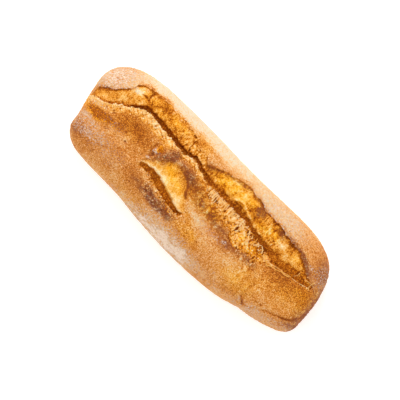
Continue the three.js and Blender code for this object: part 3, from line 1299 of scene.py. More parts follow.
@dataclass
class Site:
    """Where some points of the bread's surface are.

    Attributes:
        x: Place along the loaf.
        y: Place across it.
        z: Height above the table.
        drift_x: Place along the loaf, wandering a little so that patches have uneven edges.
        drift_y: Place across it, wandering.
        below: How far below the untorn crust.
        hollow: How far the surface round the point rises above it, in millimetres.
        splits: Where the points lie in each split.
        torn: 0 on crust, 1 on torn crumb.
        east: 0 on the loaf, 1 at its square end.
        low: 0 on top, 1 low on the side.
        under: 0 above the table, 1 on the underside.
    """

    x: Array
    y: Array
    z: Array
    drift_x: Array
    drift_y: Array
    below: Array
    hollow: Array
    splits: list[SplitPlaces]
    torn: Array
    east: Array = field(init=False)
    low: Array = field(init=False)
    under: Array = field(init=False)

    def __post_init__(self) -> None:
        """Finds the square end, the low part of the side, and the underside."""
        self.east = smooth_step(*SQUARE_END, self.x)
        self.low = smooth_step(*LOW_SIDE, self.z)
        self.under = smooth_step(*UNDERSIDE, self.z)

    def patches(self, patches: Marks) -> Array:
        """Some patches added up at each point; the wide ones have uneven edges.

        Args:
            patches: The patches and trails.

        Returns:
            A number for each point.
        """
        total = np.zeros_like(self.x)
        for patch in patches:
            share = min(1.0, patch.half_width / SMALL_PATCH)
            x, y = mix(self.x, self.drift_x, share), mix(self.y, self.drift_y, share)
            total = total + patch.at(x, y)
        return total


@dataclass
class Skin:
    """What the bread's surface is like at each point of its mesh, each from 0 to 1.

    Attributes:
        torn: 0 on crust, 1 on torn crumb.
        bake: How brown it is, with painted shade in hollows, creases, cracks and grooves and painted
            highlight on crests.
        gold: How much stretched, glossy gluten shows.
        flour: How much flour lies on it, as a share of the thickest.
        char: How burnt it is, with painted shade in a few pits.
        loose: How thickly loose crumbs lie on it.
    """

    torn: Array
    bake: Array
    gold: Array
    flour: Array
    char: Array
    loose: Array


@dataclass
class Bread:
    """The loaf itself: crust, torn crumb and underside in one closed mesh."""

    form: LoafForm = field(default_factory=LoafForm)
    splits: tuple[Split, ...] = (LONG_SPLIT, SHORT_SPLIT)
    noise: Noise = field(init=False)
    plan: Plan = field(init=False)
    crust: Array = field(init=False)
    top: Array = field(init=False)
    scale: Array = field(init=False)
    shift: Array = field(init=False)
    finish: BreadFinish = field(default_factory=BreadFinish)
    pitch: float = 0.55
    quick_pitch: float = 1.1
    coarse_pitch: float = 1.5
    fine_above: float = 30.0
    hole_count: int = 220
    hole_count_area: float = 9000.0
    hole_clearances: tuple[float, float, float] = (1.2, 0.8, 2.0)
    hole_least: float = 0.45
    hole_spread: float = 0.7
    hole_shape: tuple[float, float, float] = (1.0, 1.3, 0.7)
    most_faces: int = 190000
    seed: int = 7
    crust_bake: float = 0.54
    cream_from: Line = Line((
        (-142, 46), (-125, 42), (-110, 40), (-95, 41), (-50, 41), (-36, 39), (-20, 38), (0, 38.5),
        (20, 41), (45, 45), (60, 47), (142, 50),
    ))
    cream_full: Line = Line((
        (-142, 56), (-125, 53), (-110, 48), (-95, 47), (-50, 47), (-36, 46.5), (-20, 47.5), (0, 48),
        (20, 50), (45, 56), (60, 66), (142, 80),
    ))
    cream_bake: Line = Line((
        (-142, 0.42), (-125, 0.28), (-112, 0.20), (-98, 0.06), (-50, 0.06), (0, 0.10), (40, 0.22),
    ))
    tan_bake: Line = Line((
        (-142, 0.62), (-128, 0.56), (-115, 0.30), (-20, 0.44), (40, 0.30), (80, 0.42), (105, 0.48),
        (125, 0.72),
    ))
    # Browner and paler patches on the crust. The trails along the south-east crease, the trail at the
    # notch near (91, -37) and the spot in the dimple at (105.3, -27.4) are painted shade.
    crust_browning_and_shade: Marks = marks(
        (-91, 6, 22, 10, 0.27, 0, 1.5), (-57, 3, 7, 10, 0.2), (-73, -4, 10, 8, 0.11),
        (-101, -6, 8, 6, 0.13), (-119, -7.2, 18, 4.4, 0.50, 5, 2), (-55, -29, 15, 8, 0.16),
        (-112, -30, 26, 14, 0.15), (-20, 8, 8, 10, 0.16), (17, -17, 17, 7, -0.03),
        (46, -26, 22, 9, -0.14), (-82, -42, 20, 7, -0.08), (71, -28, 14, 7, 0.07),
        (44, -44, 12, 4, -0.10), (14, -31, 14, 7, 0.12), (76, -13, 10, 7, 0.08), (98, 1, 15, 8, 0.28, 10),
        (116, -6, 24, 16, 0.03, 10, 1.5), (141, 5, 4, 30, 0.30, 0, 2), (104, 42, 18, 8, 0.08),
        (134, -25, 8, 6, 0.10), (-125, -32, 9, 6, 0.12), (-7, 5, 9, 7, 0.28),
        (16.5, 1.5, 4, 7, 0.62, 0, 1.5), (105.3, -27.4, 1.1, 1.1, 0.4), (116, -15, 13, 6, -0.06, 25),
        (128, 5, 11, 12, 0.36), (22, -5, 20, 5, 0.02), (46, -10.5, 12, 5, 0.22),
        (8, -13.5, 9, 3, -0.24, -20), (-28, 39.5, 10, 4.5, 0.2), (-35, 36.5, 4.5, 3.5, 0.26),
        (((-19, 26.5), (-13, 28.5), (-7, 32)), 0.4, 1.8),
        (((-104, 42), (-92, 42.6), (-76, 44.4), (-62, 43.4)), 0.18, 1.3),
        (((124, -23.5), (128, -22), (134, -18), (137.5, -12)), 0.25, 1.4),
        (((-26, 9.5), (-20, 4), (-15.5, -2), (-12, -7.5)), 0.8, 1.7), (130, 30, 14, 12, 0.14),
        (((93, -38), (107, -31.5), (121, -24.5)), 0.06, 1.3), (((89.5, -35.2), (92.5, -38)), 0.38, 1.1),
    )
    crust_gold: Marks = marks(
        (114, -4, 26, 15, 0.27, 10, 1.5), (124, 6, 10, 6, 0.4), (-119, -8, 18, 4.2, 1.2, 5, 2),
        (-90, 5, 20, 10, 0.3), (16.5, 1.5, 4.5, 7, 0.5), (137, 5, 7, 18, 0.4), (4, 2, 26, 8, 0.6),
        (-31, 38, 10, 4.5, 0.4), (76, -20, 16, 14, 0.35), (12, -30, 14, 8, 0.35), (74, -30, 16, 8, 0.25),
        (-45, -42, 20, 6, 0.15), (((-1, -16), (6, -20), (14, -23.5), (20, -28)), 0.3, 2.4),
    )
    crust_flour: Marks = marks(
        (-133, 27, 18, 15, 0.86, 45, 2), (-138, 24, 7, 10, 0.05), (-117, 43, 12, 5, 0.35, 15),
        (-122, -24, 24, 8.8, 0.28, 0, 4), (-126.5, -17.5, 4, 2.6, 0.5), (-118, -27.5, 2.5, 3, 0.45),
        (-94, -26, 24, 12, 0.14, 0, 1.5), (-100, -6, 18, 6, 0.12), (-21, -49, 5, 3, 0.5),
        (-3, -47.6, 31, 8.5, 1.4, 0, 1), (-13, -46.5, 12, 4, 0.35), (-40, -49, 40, 4, 0.35),
        (22, -45.5, 9, 5, 0.9), (60, 43, 31, 8, 0.48, 0, 1.5), (46, 37.5, 8, 2.5, 0.4),
        (76, 33.5, 12, 1.6, 0.4, -6), (108, -37, 20, 5, 0.40, 15), (134, -27, 10, 6, 0.12, 30),
        (87, -36.6, 2.6, 1, 0.7, -42), (66, -46, 26, 7, 0.12), (132, 31, 13, 12, 0.3),
        (139.5, -2, 4, 28, 0.05), (18, -13, 14, 4, 0.2, -10), (38, -13, 10, 3, 0.2),
        (-26, -32, 10, 1.5, 0.2, -6), (-58.6, 4.6, 2.4, 1.8, 2.1), (-60.7, -4.7, 1.5, 1, 1.2),
        (42.5, -11, 2, 1.2, 0.65), (56, -37, 1.6, 0.9, 0.7, -35), (115, 28, 3, 1.5, 0.5),
    )
    # Burnt patches on the crust. The marks at (-59.9, -0.2), (-50, 14.1), (-85, -9.4), (-106, -13.5),
    # (-129.3, -9.4) and (-111.3, 2.6) are painted shade in pits that the bumps press in.
    crust_char_and_shade: Marks = marks(
        (-27, -28.8, 18, 4.8, 1.75, -4, 1.5), (-50, -26, 10, 5, 0.35), (-14.5, -28.5, 6, 3.5, 0.3),
        (-49.3, 6.6, 13.5, 5.8, 0.78, 52, 2), (((-44, 9), (-37, 12), (-30, 13), (-24, 11)), 0.55, 2.4),
        (((-25.5, 10), (-20.5, 4.5), (-16.5, -2), (-13.5, -7)), 0.6, 1), (-20, 8, 6.5, 6, 1.1),
        (-4, 3, 9, 5, 0.35, -20), (5, -1, 5, 4, 0.6, -10), (17, -1, 4, 5, 0.5),
        (32, -5, 16, 4.4, 0.5, -6), (48, -11.5, 12, 4.5, 0.45), (68, -7, 9, 2.8, 0.6),
        (128, 31, 15, 8, 0.45, -42), (142, 4, 6.5, 26, 1.3), (136, -22, 7, 4, 0.45, 30),
        (93, 32.2, 17, 1.9, 0.75, -10), (106, 28.2, 10, 2.2, 0.95, -26), (116, 23, 7, 2, 0.7, -32),
        (-59.9, -0.2, 1.6, 1.8, 1.5), (-139.5, 10, 1, 4, 0.4), (-126, -31, 9, 6, 0.45),
        (46.5, 35.6, 5, 2, 0.4), (-132, 13.5, 5, 2.2, 0.7, 38), (-13, 29, 6, 3, 0.4, 15),
        (-43.5, 16.5, 3.2, 3.5, 0.8), (-50, 14.1, 1.3, 1.2, 1), (-85, -9.4, 1, 0.8, 1),
        (-106, -13.5, 0.9, 0.8, 1), (-129.3, -9.4, 1.2, 1, 1), (-111.3, 2.6, 1.6, 1.6, 1),
    )
    crumb_char: Marks = marks(
        (47.5, 31.5, 3.6, 5, 1.2, 0, 1.5), (73.5, 30.5, 4, 4, 0.75, 0, 1.5), (-13, 27, 4, 3, 0.3),
        (((-12, 29.5), (-5, 32.5), (2, 34.8), (10, 36), (18, 38.4), (28, 39.2), (38, 37.6), (45, 36),
          (52, 36)), 0.38, 1.5),
    )
    crumb_flour: Marks = marks(
        (-110, 31, 4.4, 2.2, 0.8, 10), (-124, -1.5, 10, 2, 0.4, 12), (-131, -5, 3, 3, 0.3),
    )
    crust_wear: Marks = marks(
        (6, 1, 32, 9, 1, -6, 2), (-46, 8, 16, 7, 1, 52, 2), (-22, 10, 12, 8, 1),
        (-25, -29, 24, 5, 1, -4, 2), (100, 30, 18, 4, 0.8, -14), (137, 10, 8, 24, 0.6),
        (64, -10, 22, 6, 0.8), (-90, 0, 30, 8, 0.3), (-14, 29, 8, 4, 1, 15),
    )
    # Browner and paler patches on the crumb. The pale trail along the raised arch near x 19 to 45 and the
    # pale patch at (21.5, 30) are painted highlights. The dark trail under that arch, the dark trail
    # along the cracks near x -100, and the dark patches at (57.5, 11.3), (72.5, 9.2), (71, 7) and (72,
    # 6.5) in the crack and pit among the strands are painted shade.
    crumb_toast_and_painted_light: Marks = marks(
        (-83, 36, 15, 6, 0.12), (-35, 35, 7, 4, 0.12), (-36, 27, 7, 4, -0.06), (47, 32, 8, 7, 0.34),
        (73, 31, 6, 5, 0.16), (59, 31, 6, 4, 0.16), (57.5, 11.3, 6, 2.6, 0.44), (72.5, 9.2, 4, 2.6, 0.45),
        (71, 7, 5.5, 3.8, 0.55), (78, 26, 20, 8, 0.04), (3.5, 28.5, 6, 6, 0.16), (21.5, 30, 7, 5, -0.28),
        (98, 23, 8, 3.5, 0.2), (48.5, 3.5, 5, 5, -0.12), (72, 6.5, 6, 5, 0.22), (-75, 20, 24, 4, -0.03),
        (-57, 7.5, 3.5, 3, 0.26), (61, 4, 2.2, 3.5, 0.25), (43, 5, 2.5, 4, 0.16), (35, 9, 7, 5, -0.06),
        (80, 24, 5, 4, -0.26), (66.5, 26, 4, 4, -0.14), (-23.5, -6, 6, 4, 0.08), (-55, 32, 8, 5, -0.08),
        (-12.5, -14.5, 6, 4, -0.25, -45), (-24, -13, 8, 3, 0.12, -28), (-36, 36.5, 4.5, 3.5, 0.30),
        (-19.5, 19.6, 2, 1.4, 0.4), (101, 20.5, 12, 1.5, -0.14, -6), (-107.5, 32, 4.5, 2, -0.55, 10),
        (-107, 28, 6, 4, -0.1), (-103, 36, 5, 4, -0.10), (((61, 30), (63, 26), (65, 23)), -0.22, 1.6),
        (((-103, 32.2), (-99, 32.4), (-95.5, 31.2), (-96.8, 35), (-96.5, 39)), 0.5, 0.7),
        (((-114, 33.6), (-110.5, 36.3), (-107, 39), (-100.5, 40), (-96, 40.4)), 0.42, 1),
        (-122, 11, 16, 8, -0.04, 30), (((-126, 3.5), (-117, 8.5), (-108, 14)), -0.12, 1.6),
        (((19, 22), (24, 25.5), (30, 26.4), (37, 23.5), (45, 20.5)), -0.26, 1.3),
        (((22, 21.5), (30, 23.5), (36, 21.5)), 0.10, 1.5),
    )
    crumb_gold: Marks = marks(
        (14, 29.5, 22, 8, 0.9, 0, 1.5), (1, 27, 9, 6, 0.5), (66, 26, 8, 5, 0.4), (98, 14, 22, 4, 0.2, 6),
        (38, 30, 6, 6, 0.5), (54, 24, 7, 4, 0.7), (66, 23, 7, 5, 0.85), (100, 25, 10, 3, 0.5),
        (-36, -0.5, 13, 6, 0.9, -22), (-21, -6, 8, 3.5, 0.5, -40), (-60, 34, 8, 4, 0.8),
        (-84, 34, 18, 6, 0.4), (50, 2, 9, 8, 0.8), (66, 2, 12, 8, 0.8), (-32, -13, 14, 5, 0.4, -24),
        (-57, 7.5, 3.4, 2.8, 0.8),
    )
    scrapes: Marks = marks(
        (-57, 7.5, 3.4, 2.8, 1.3), (-138, -9, 5, 8, 1.4),
    )

    def build(self) -> Piece:
        """Makes the loaf, dresses it, and puts it where the frame's loaf is.

        Returns:
            The finished piece.
        """
        self.noise = Noise(self.seed)
        self.plan = Plan(self.form, self.pitch, self.noise)
        on_plan = [split.places(self.plan.x, self.plan.y, self.noise) for split in self.splits]
        self.plan.crown = self.plan.crown + sum(
            split.lift(places) for split, places in zip(self.splits, on_plan))
        self.crust = self.plan.crust_height()
        self.top = self.crust
        block = Block(self.plan, self.fine_above, self.coarse_pitch)
        for split, places in zip(self.splits, on_plan):
            floor = block.cut(split, self.crust, places, self.noise)
            outside = np.maximum.reduce([places.before_band, places.past_far, places.past_ends])
            self.top = np.where(outside < 0.0, floor, self.top)
            self._dig_holes(block, split, places, floor)
        LOG.info("the block is cut")
        points, faces = largest_piece(*block.surface())
        LOG.info("the surface has %d points", len(points))
        piece = self._piece(self._roughen(points, faces), faces)
        self._thin(piece)
        self._wear(piece)
        return piece

    def torn_height(self, x: Array, y: Array) -> Array:
        """The height of the bread's upper surface, before its small holes."""
        return self.plan.read(self.top, x, y)

    def _dig_holes(self, block: Block, split: Split, places: SplitPlaces, floor: Array) -> None:
        """Digs the crumb's holes along the torn surface of a split.

        Args:
            block: The block of cells.
            split: The split.
            places: Where the plan's points lie in it.
            floor: The height of its torn surface.
        """
        plan = block.plan
        for hole in split.holes:
            height = float(plan.read(floor, np.array(hole.x), np.array(hole.y)))
            block.dig(np.array((hole.x, hole.y, height - hole.depth)), np.array(hole.radii))
        rng = np.random.default_rng(self.seed)
        smooth = Texture.SILKY.share(split.slope_texture.at(plan.x)) * (places.past_lip > 0.0)
        outside = (places.before_band, places.past_far, places.past_ends)
        inside = smooth < 0.5
        for distance, clearance in zip(outside, self.hole_clearances):
            inside &= distance < -clearance
        choice = np.argwhere(inside)
        share = len(choice) * plan.pitch ** 2 / self.hole_count_area
        for row, column in choice[rng.integers(0, len(choice), int(self.hole_count * share))]:
            size = self.hole_least + self.hole_spread * rng.random() ** 3
            radii = size * rng.uniform(0.8, 1.3, 3) * self.hole_shape
            middle = (plan.xs[row], plan.ys[column], floor[row, column] - 0.1 * size)
            block.dig(np.array(middle), radii)

    def _site(self, points: Array, normals: Array, edges: Array) -> Site:
        """Works out where points of the surface are.

        Args:
            points: The points, one in each row.
            normals: The way out of the bread at each point.
            edges: The pairs of points that are joined.

        Returns:
            The points' site.
        """
        x, y, z = points.T
        noise = self.noise
        below = self.plan.read(self.crust, x, y) - z
        ragged = 0.9 * noise.layers((2.6, 2.6), 2, x + 61.0, y)
        splits = [split.places(x, y, noise) for split in self.splits]
        torn = np.zeros(len(points))
        for split, places in zip(self.splits, splits):
            torn = np.maximum(torn, split.torn(places, below, ragged))
        torn = torn * smooth_step(self.fine_above, self.fine_above + 1.0, z)
        drift_x = x + DRIFT * noise.layers((11.0, 11.0), 3, x, y + 11.0)
        drift_y = y + DRIFT * noise.layers((11.0, 11.0), 3, x + 29.0, y)
        scraped = sum_marks(self.scrapes, drift_x, drift_y) * smooth_step(16.0, 26.0, z)
        torn = np.maximum(torn, smooth_step(0.35, 0.65, scraped + 0.3 * ragged))
        hollow = hollowness(points, normals, edges)
        return Site(x, y, z, drift_x, drift_y, below, hollow, splits, torn)

    def _roughen(self, points: Array, faces: Array) -> Array:
        """Moves the points in and out to give crust and crumb their fine relief.

        Args:
            points: The points, one in each row.
            faces: The four-sided faces.

        Returns:
            The moved points.
        """
        corner = points[faces]
        facing = np.cross(corner[:, 2] - corner[:, 0], corner[:, 3] - corner[:, 1])
        normals = gather(faces.ravel(), np.repeat(facing, 4, 0), len(points))
        normals /= np.linalg.norm(normals, axis=1)[:, None].clip(1e-9)
        site = self._site(points, normals, np.zeros((0, 2), int))
        noise, (x, y, z) = self.noise, points.T
        char = np.clip(site.patches(self.crust_char_and_shade), 0.0, 1.0)
        rough = 0.42 * noise.puffs((2.4, 2.6, 2.2), 2, x, y, z)
        silky = Texture.SILKY.share(LONG_SPLIT.slope_texture.at(x)) * (site.splits[0].past_lip > 0.0)
        silky = np.where((site.splits[1].past_ends < 0.0) & (y < 20.0), 1.0, silky)
        hung = Texture.STRINGY.share(LONG_SPLIT.texture(site.splits[0], x))
        rough = rough * (1.0 - np.maximum(0.72 * silky, 0.55 * hung))
        skin = 0.30 * noise.layers((6.0, 4.5, 5.0), 3, x, y, z) + 0.16 * noise.puffs(
            (2.4, 2.2, 2.2), 1, x, y, z)
        char = np.maximum(char, np.clip(site.patches(self.crust_wear), 0.0, 1.0))
        char = char * mix(1.0, 0.3, site.east)
        wrinkles = 0.9 * char * noise.puffs((3.6, 2.6, 3.4), 2, x, y, z + 90.0)
        top = smooth_step(8.0, 20.0, z)
        height = mix(skin * mix(0.5, 1.0, top) + wrinkles * top, rough, site.torn)
        return points + normals * height[:, None]

    def _piece(self, points: Array, faces: Array) -> Piece:
        """Makes a Blender object of the mesh, fitted to the frame's loaf.

        Args:
            points: The points, one in each row.
            faces: The four-sided faces.

        Returns:
            The object.
        """
        low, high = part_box("loaf")
        size = np.array(high - low)
        own_low, own_high = points.min(0), points.max(0)
        self.scale = size / (own_high - own_low)
        self.shift = np.array(low) - own_low * self.scale
        mesh = bpy.data.meshes.new("loaf_bread")
        mesh.vertices.add(len(points))
        mesh.vertices.foreach_set("co", (points * self.scale + self.shift).astype(np.float32).ravel())
        mesh.loops.add(faces.size)
        mesh.loops.foreach_set("vertex_index", faces.astype(np.int32).ravel())
        mesh.polygons.add(len(faces))
        mesh.polygons.foreach_set("loop_start", np.arange(0, faces.size, 4, dtype=np.int32))
        mesh.update(calc_edges=True)
        return add_object("loaf_bread", mesh)

    def _thin(self, piece: Piece) -> None:
        """Merges faces where the surface is smooth, down to the most that a piece may have.

        Args:
            piece: The bread.
        """
        triangles = 2 * len(piece.data.polygons)
        if triangles > self.most_faces:
            thin = piece.modifiers.new("thin", "DECIMATE")
            thin.ratio = self.most_faces / triangles
            thin.use_collapse_triangulate = True
        apply_modifiers(piece)
        piece.data.shade_smooth()

    def _wear(self, piece: Piece) -> None:
        """Gives the mesh its masks and its material.

        Args:
            piece: The bread.
        """
        mesh = piece.data
        points = read_rows(mesh.vertices, "co", 3)
        normals = read_rows(mesh.vertices, "normal", 3)
        edges = read_rows(mesh.edges, "vertices", 2, np.int32)
        site = self._site((points - self.shift) / self.scale, normals, edges)
        for name, values in vars(self._skin(site)).items():
            carry(mesh, name, np.clip(values, 0.0, 1.0))
        mesh.materials.clear()
        mesh.materials.append(self.finish.material())

    def _skin(self, site: Site) -> Skin:
        """Works out what the surface is like at each point.

        Args:
            site: The points.

        Returns:
            Their skin.
        """
        cream = smooth_step(
            self.cream_from.at(site.drift_x), self.cream_full.at(site.drift_x), site.drift_y)
        char = self._char(site)
        gold = mix(site.patches(self.crust_gold), site.patches(self.crumb_gold), site.torn)
        uneven = 1.0 + 0.5 * self.noise.layers((4.0, 7.0), 2, site.x, site.y)
        bake = self._crust_bake_and_shade(site, cream) + self._scorched(site)
        flour = mix(self._flour(site, cream), site.patches(self.crumb_flour), site.torn)
        return Skin(
            torn=site.torn,
            bake=mix(bake, self._crumb_bake_and_shade(site), site.torn),
            gold=gold * uneven * (1.0 - site.low),
            flour=flour / THICKEST,
            char=char,
            loose=self._loose(site),
        )

    def _flour(self, site: Site, cream: Array) -> Array:
        """How much flour lies on the crust: its marks, what settled low down, none in pits.

        Args:
            site: The points.
            cream: How much of the pale side each is on.

        Returns:
            A number for each point.
        """
        noise = self.noise
        fade = mix(0.2, 1.0, smooth_step(16.0, 36.0, site.z))
        flour = site.patches(self.crust_flour) * (1.0 - 0.6 * cream) * fade
        uneven = mix(1.1, 0.12, smooth_step(-46.0, -36.0, site.y))
        streaks = noise.layers((3.6, 2.2, 2.4), 3, site.x - 0.7 * site.y, site.y, site.z)
        flour = flour * (1.0 + uneven * streaks)
        settled = 0.5 + 0.4 * noise.layers((9.0, 7.0), 3, site.x - site.y, site.z + 90.0)
        settled = settled * site.low * (1.0 - cream) * (1.0 - 0.8 * site.east)
        flour = np.maximum(flour, settled) + 0.1 * site.under
        return flour - 0.35 * np.clip(site.hollow, 0.0, 1.0)

    def _char(self, site: Site) -> Array:
        """How burnt crust and crumb are, with painted shade in a few crust pits; low down, only the
        square end is.

        Args:
            site: The points.

        Returns:
            A number for each point.
        """
        char = site.patches(self.crust_char_and_shade) * (1.0 - site.low * (1.0 - 0.7 * site.east))
        char = char * mix(1.0, 0.3, site.east * smooth_step(24.0, 8.0, site.z))
        char = char * (1.0 - site.torn) + site.patches(self.crumb_char) * site.torn
        return char * (1.0 + 0.8 * self.noise.layers((3.6, 3.2), 3, site.x, site.y + 500.0))

    def _loose(self, site: Site) -> Array:
        """How thickly loose crumbs lie: along the crumbly edges, and here and there elsewhere.

        Args:
            site: The points.

        Returns:
            A number for each point.
        """
        long, short = site.splits
        west = smooth_step(2.0, -30.0, site.x)
        lip = np.exp(-(long.past_lip / 3.2) ** 2) * (long.past_lip < 0.6) * west
        band = smooth_step(0.0, 0.3, long.band) * (long.past_lip < 0.0) * (long.band > 0.0)
        edge = np.exp(-((short.past_lip + 2.0) / 2.2) ** 2) * (short.past_ends < 2.0)
        edge = edge * (short.past_lip < 0.4)
        near = np.maximum.reduce([lip, 0.35 * band, edge])
        near = near * smooth_step(self.fine_above - 6.0, self.fine_above, site.z)
        return near * smooth_step(4.0, 0.0, long.past_ends) * smooth_step(-1.0, 0.2, -site.hollow)

    def _crust_bake_and_shade(self, site: Site, cream: Array) -> Array:
        """How brown the crust is, with painted shade in its hollows and a painted highlight on its
        crests.

        Args:
            site: The points.
            cream: How much of the pale side each is on.

        Returns:
            A number for each point.
        """
        x, y, noise = site.x, site.y, self.noise
        clouds = noise.layers((14.0, 9.0), 4, x, y + 200.0)
        streaks = noise.layers((2.4, 12.0), 3, x, y + 250.0)
        marks = site.patches(self.crust_browning_and_shade) * (1.0 - 0.8 * cream)
        bake = self.crust_bake + 0.13 * clouds + 0.07 * streaks
        worn = site.patches(self.crust_wear)
        bake = bake + 0.50 * worn * noise.layers((3.0, 4.6), 3, x, y + 600.0)
        north = smooth_step(0.0, 5.0, site.splits[0].past_far) * smooth_step(20.0, 30.0, y)
        bake = mix(bake, self.tan_bake.at(x) + 0.06 * clouds, north) + marks
        bake = mix(bake, self.cream_bake.at(x) + 0.05 * clouds, cream)
        side = mix(0.45 + 0.2 * site.east, 0.15, cream)
        bake = mix(bake, side + 0.10 * clouds, site.low)
        bake = mix(bake, 0.55 + 0.2 * clouds, site.under)
        # Darker in the crust's hollows and paler on its crests: painted shade and painted highlight.
        return bake + 0.25 * np.clip(site.hollow, -0.4, 0.8)

    def _scorched(self, site: Site) -> Array:
        """How much browner the thin edges of the crust are, beside the splits.

        Args:
            site: The points.

        Returns:
            A number for each point.
        """
        patchy = 0.7 + 0.7 * self.noise.layers((6.0, 6.0), 2, site.x, site.y + 300.0)
        most = np.zeros_like(site.x)
        for split, places in zip(self.splits, site.splits):
            crisp = smooth_step(1.2, 0.4, split.far_blend.at(places.along))
            near = np.exp(-np.abs(places.past_far) / 1.1) * smooth_step(3.0, -2.0, places.past_ends)
            most = np.maximum(most, crisp * near)
            crisp = smooth_step(1.2, 0.5, split.tear_blend.at(places.along))
            crisp = crisp * (places.past_lip < 1.0)
            near = np.exp(-np.clip(places.before_band, 0.0, None) / 1.8)
            most = np.maximum(most, 0.7 * crisp * near * smooth_step(1.0, -2.0, places.past_ends))
        return 0.32 * patchy * most

    def _crumb_bake_and_shade(self, site: Site) -> Array:
        """How golden the torn crumb is, with a painted highlight on its crests and painted shade in its
        hollows, cracks and groove.

        Args:
            site: The points.

        Returns:
            A number for each point.
        """
        long, short = site.splits
        toast, crack = self._long_bake_and_shade(site, long)
        leaf, groove = self._short_bake_and_shade(site, short)
        in_short = (short.past_ends < 0.5) & (short.before_band < 1.5) & (site.y < 16.0)
        texture = np.where(in_short, Texture.SILKY.value, LONG_SPLIT.texture(long, site.x))
        rough = 1.0 - 0.6 * Texture.SILKY.share(texture)
        deep = np.where(in_short, groove, crack)
        # Painted shade in the crumb's hollows and painted highlight on its crests, weaker where it is
        # silky or deep in a crack or groove.
        sunk = (0.48 - 0.36 * deep) * rough * np.clip(site.hollow, -0.5, 1.2)
        return np.where(in_short, leaf, toast) + site.patches(self.crumb_toast_and_painted_light) + sunk

    def _crumb_noise(self, site: Site) -> tuple[Array, Array]:
        """The streaks and the clouds in the crumb's colour."""
        streaks = self.noise.layers((2.6, 8.0), 4, site.x, site.y + 400.0)
        return streaks, self.noise.layers((7.0, 6.0), 4, site.x + 120.0, site.y)

    def _long_bake_and_shade(self, site: Site, long: SplitPlaces) -> tuple[Array, Array]:
        """The bake of the long split's crumb with its painted shade, and how deep in its crack each point
        is.

        Args:
            site: The points.
            long: Where they lie in the long split.

        Returns:
            The two numbers for each point.
        """
        x = site.x
        streaks, clouds = self._crumb_noise(site)
        texture = LONG_SPLIT.texture(long, x)
        relief = LONG_SPLIT.relief(x, site.y, texture, self.noise)
        coarse = 0.18 + 0.24 * smooth_step(38.0, 48.0, x)
        band = 0.43 + 0.24 * smooth_step(0.75, 0.0, long.band) + coarse * clouds
        hung = texture * smooth_step(44.0, 34.0, x)
        # Raised lumps and strings paler and the gaps between them darker: painted highlight and painted
        # shade.
        band = band + 0.14 * hung - (0.10 + 0.08 * hung) * relief
        west = smooth_step(-110.0, -96.0, x) * smooth_step(-25.0, -45.0, x)
        coarse = 0.30 + 0.14 * smooth_step(-20.0, 0.0, x)
        crack = smooth_step(1.4, -0.4, long.past_crack) * smooth_step(
            0.0, 4.0, LONG_SPLIT.depth.at(long.along))
        # The relief term makes raised crumb paler and its gaps darker: painted highlight and painted
        # shade.
        slope = coarse * clouds + 0.10 * streaks - 0.05 * relief
        slope = 0.60 + 0.13 * west + (1.0 - 0.7 * crack) * slope
        # Darker just under the far lip: partly a toasted edge, partly painted shade cast by the lip.
        edge = smooth_step(3.6, 0.6, -long.past_far + 2.0 * streaks)
        crisp = smooth_step(1.2, 0.4, LONG_SPLIT.far_blend.at(long.along))
        slope = slope + 0.34 * edge * crisp
        east = smooth_step(70.0, 84.0, x)
        # Darker in the crack and on the slope just above it: partly the crumb's browner colour there,
        # partly painted shade.
        slope = slope + (0.13 - 0.03 * east) * crack + 0.22 * smooth_step(4.0, -0.5, long.past_crack)
        on_band = long.past_lip < 0.0
        return np.where(on_band, band, slope), np.where(on_band, 0.0, crack)

    def _short_bake_and_shade(self, site: Site, short: SplitPlaces) -> tuple[Array, Array]:
        """The bake of the short split's leaf with its painted shadow in the groove, and how deep in its
        groove each point is.

        Args:
            site: The points.
            short: Where they lie in the short split.

        Returns:
            The two numbers for each point.
        """
        x = site.x
        streaks, clouds = self._crumb_noise(site)
        leaf = 0.52 + 0.14 * streaks + 0.22 * clouds + 0.14 * smooth_step(0.5, 1.0, short.slope)
        rim = np.exp(-((short.slope - 0.15) / 0.15) ** 2)
        # The groove under the leaf's rim is painted dark: painted shadow cast by the leaf.
        groove = smooth_step(0.9, -0.2, short.past_crack)
        pale = (0.46 - 0.28 * smooth_step(-42.0, -22.0, x)) * rim
        leaf = mix(leaf - pale, 0.90 + 0.08 * clouds, groove)
        # On the crumbly band the lumps are paler and the gaps darker: painted highlight and painted
        # shade.
        lumps = SHORT_SPLIT.relief(x, site.y, np.zeros_like(x), self.noise)
        leaf = np.where(short.past_lip < 0.0, 0.78 - 0.20 * lumps, leaf)
        return leaf, groove * (short.past_lip > 0.0)


def apply_modifiers(piece: Piece) -> None:
    """Replaces a piece's mesh by what its modifiers make of it, and removes them.

    Args:
        piece: The piece.
    """
    depsgraph = bpy.context.evaluated_depsgraph_get()
    made = bpy.data.meshes.new_from_object(piece.evaluated_get(depsgraph))
    piece.modifiers.clear()
    made.name = piece.name
    piece.data = made


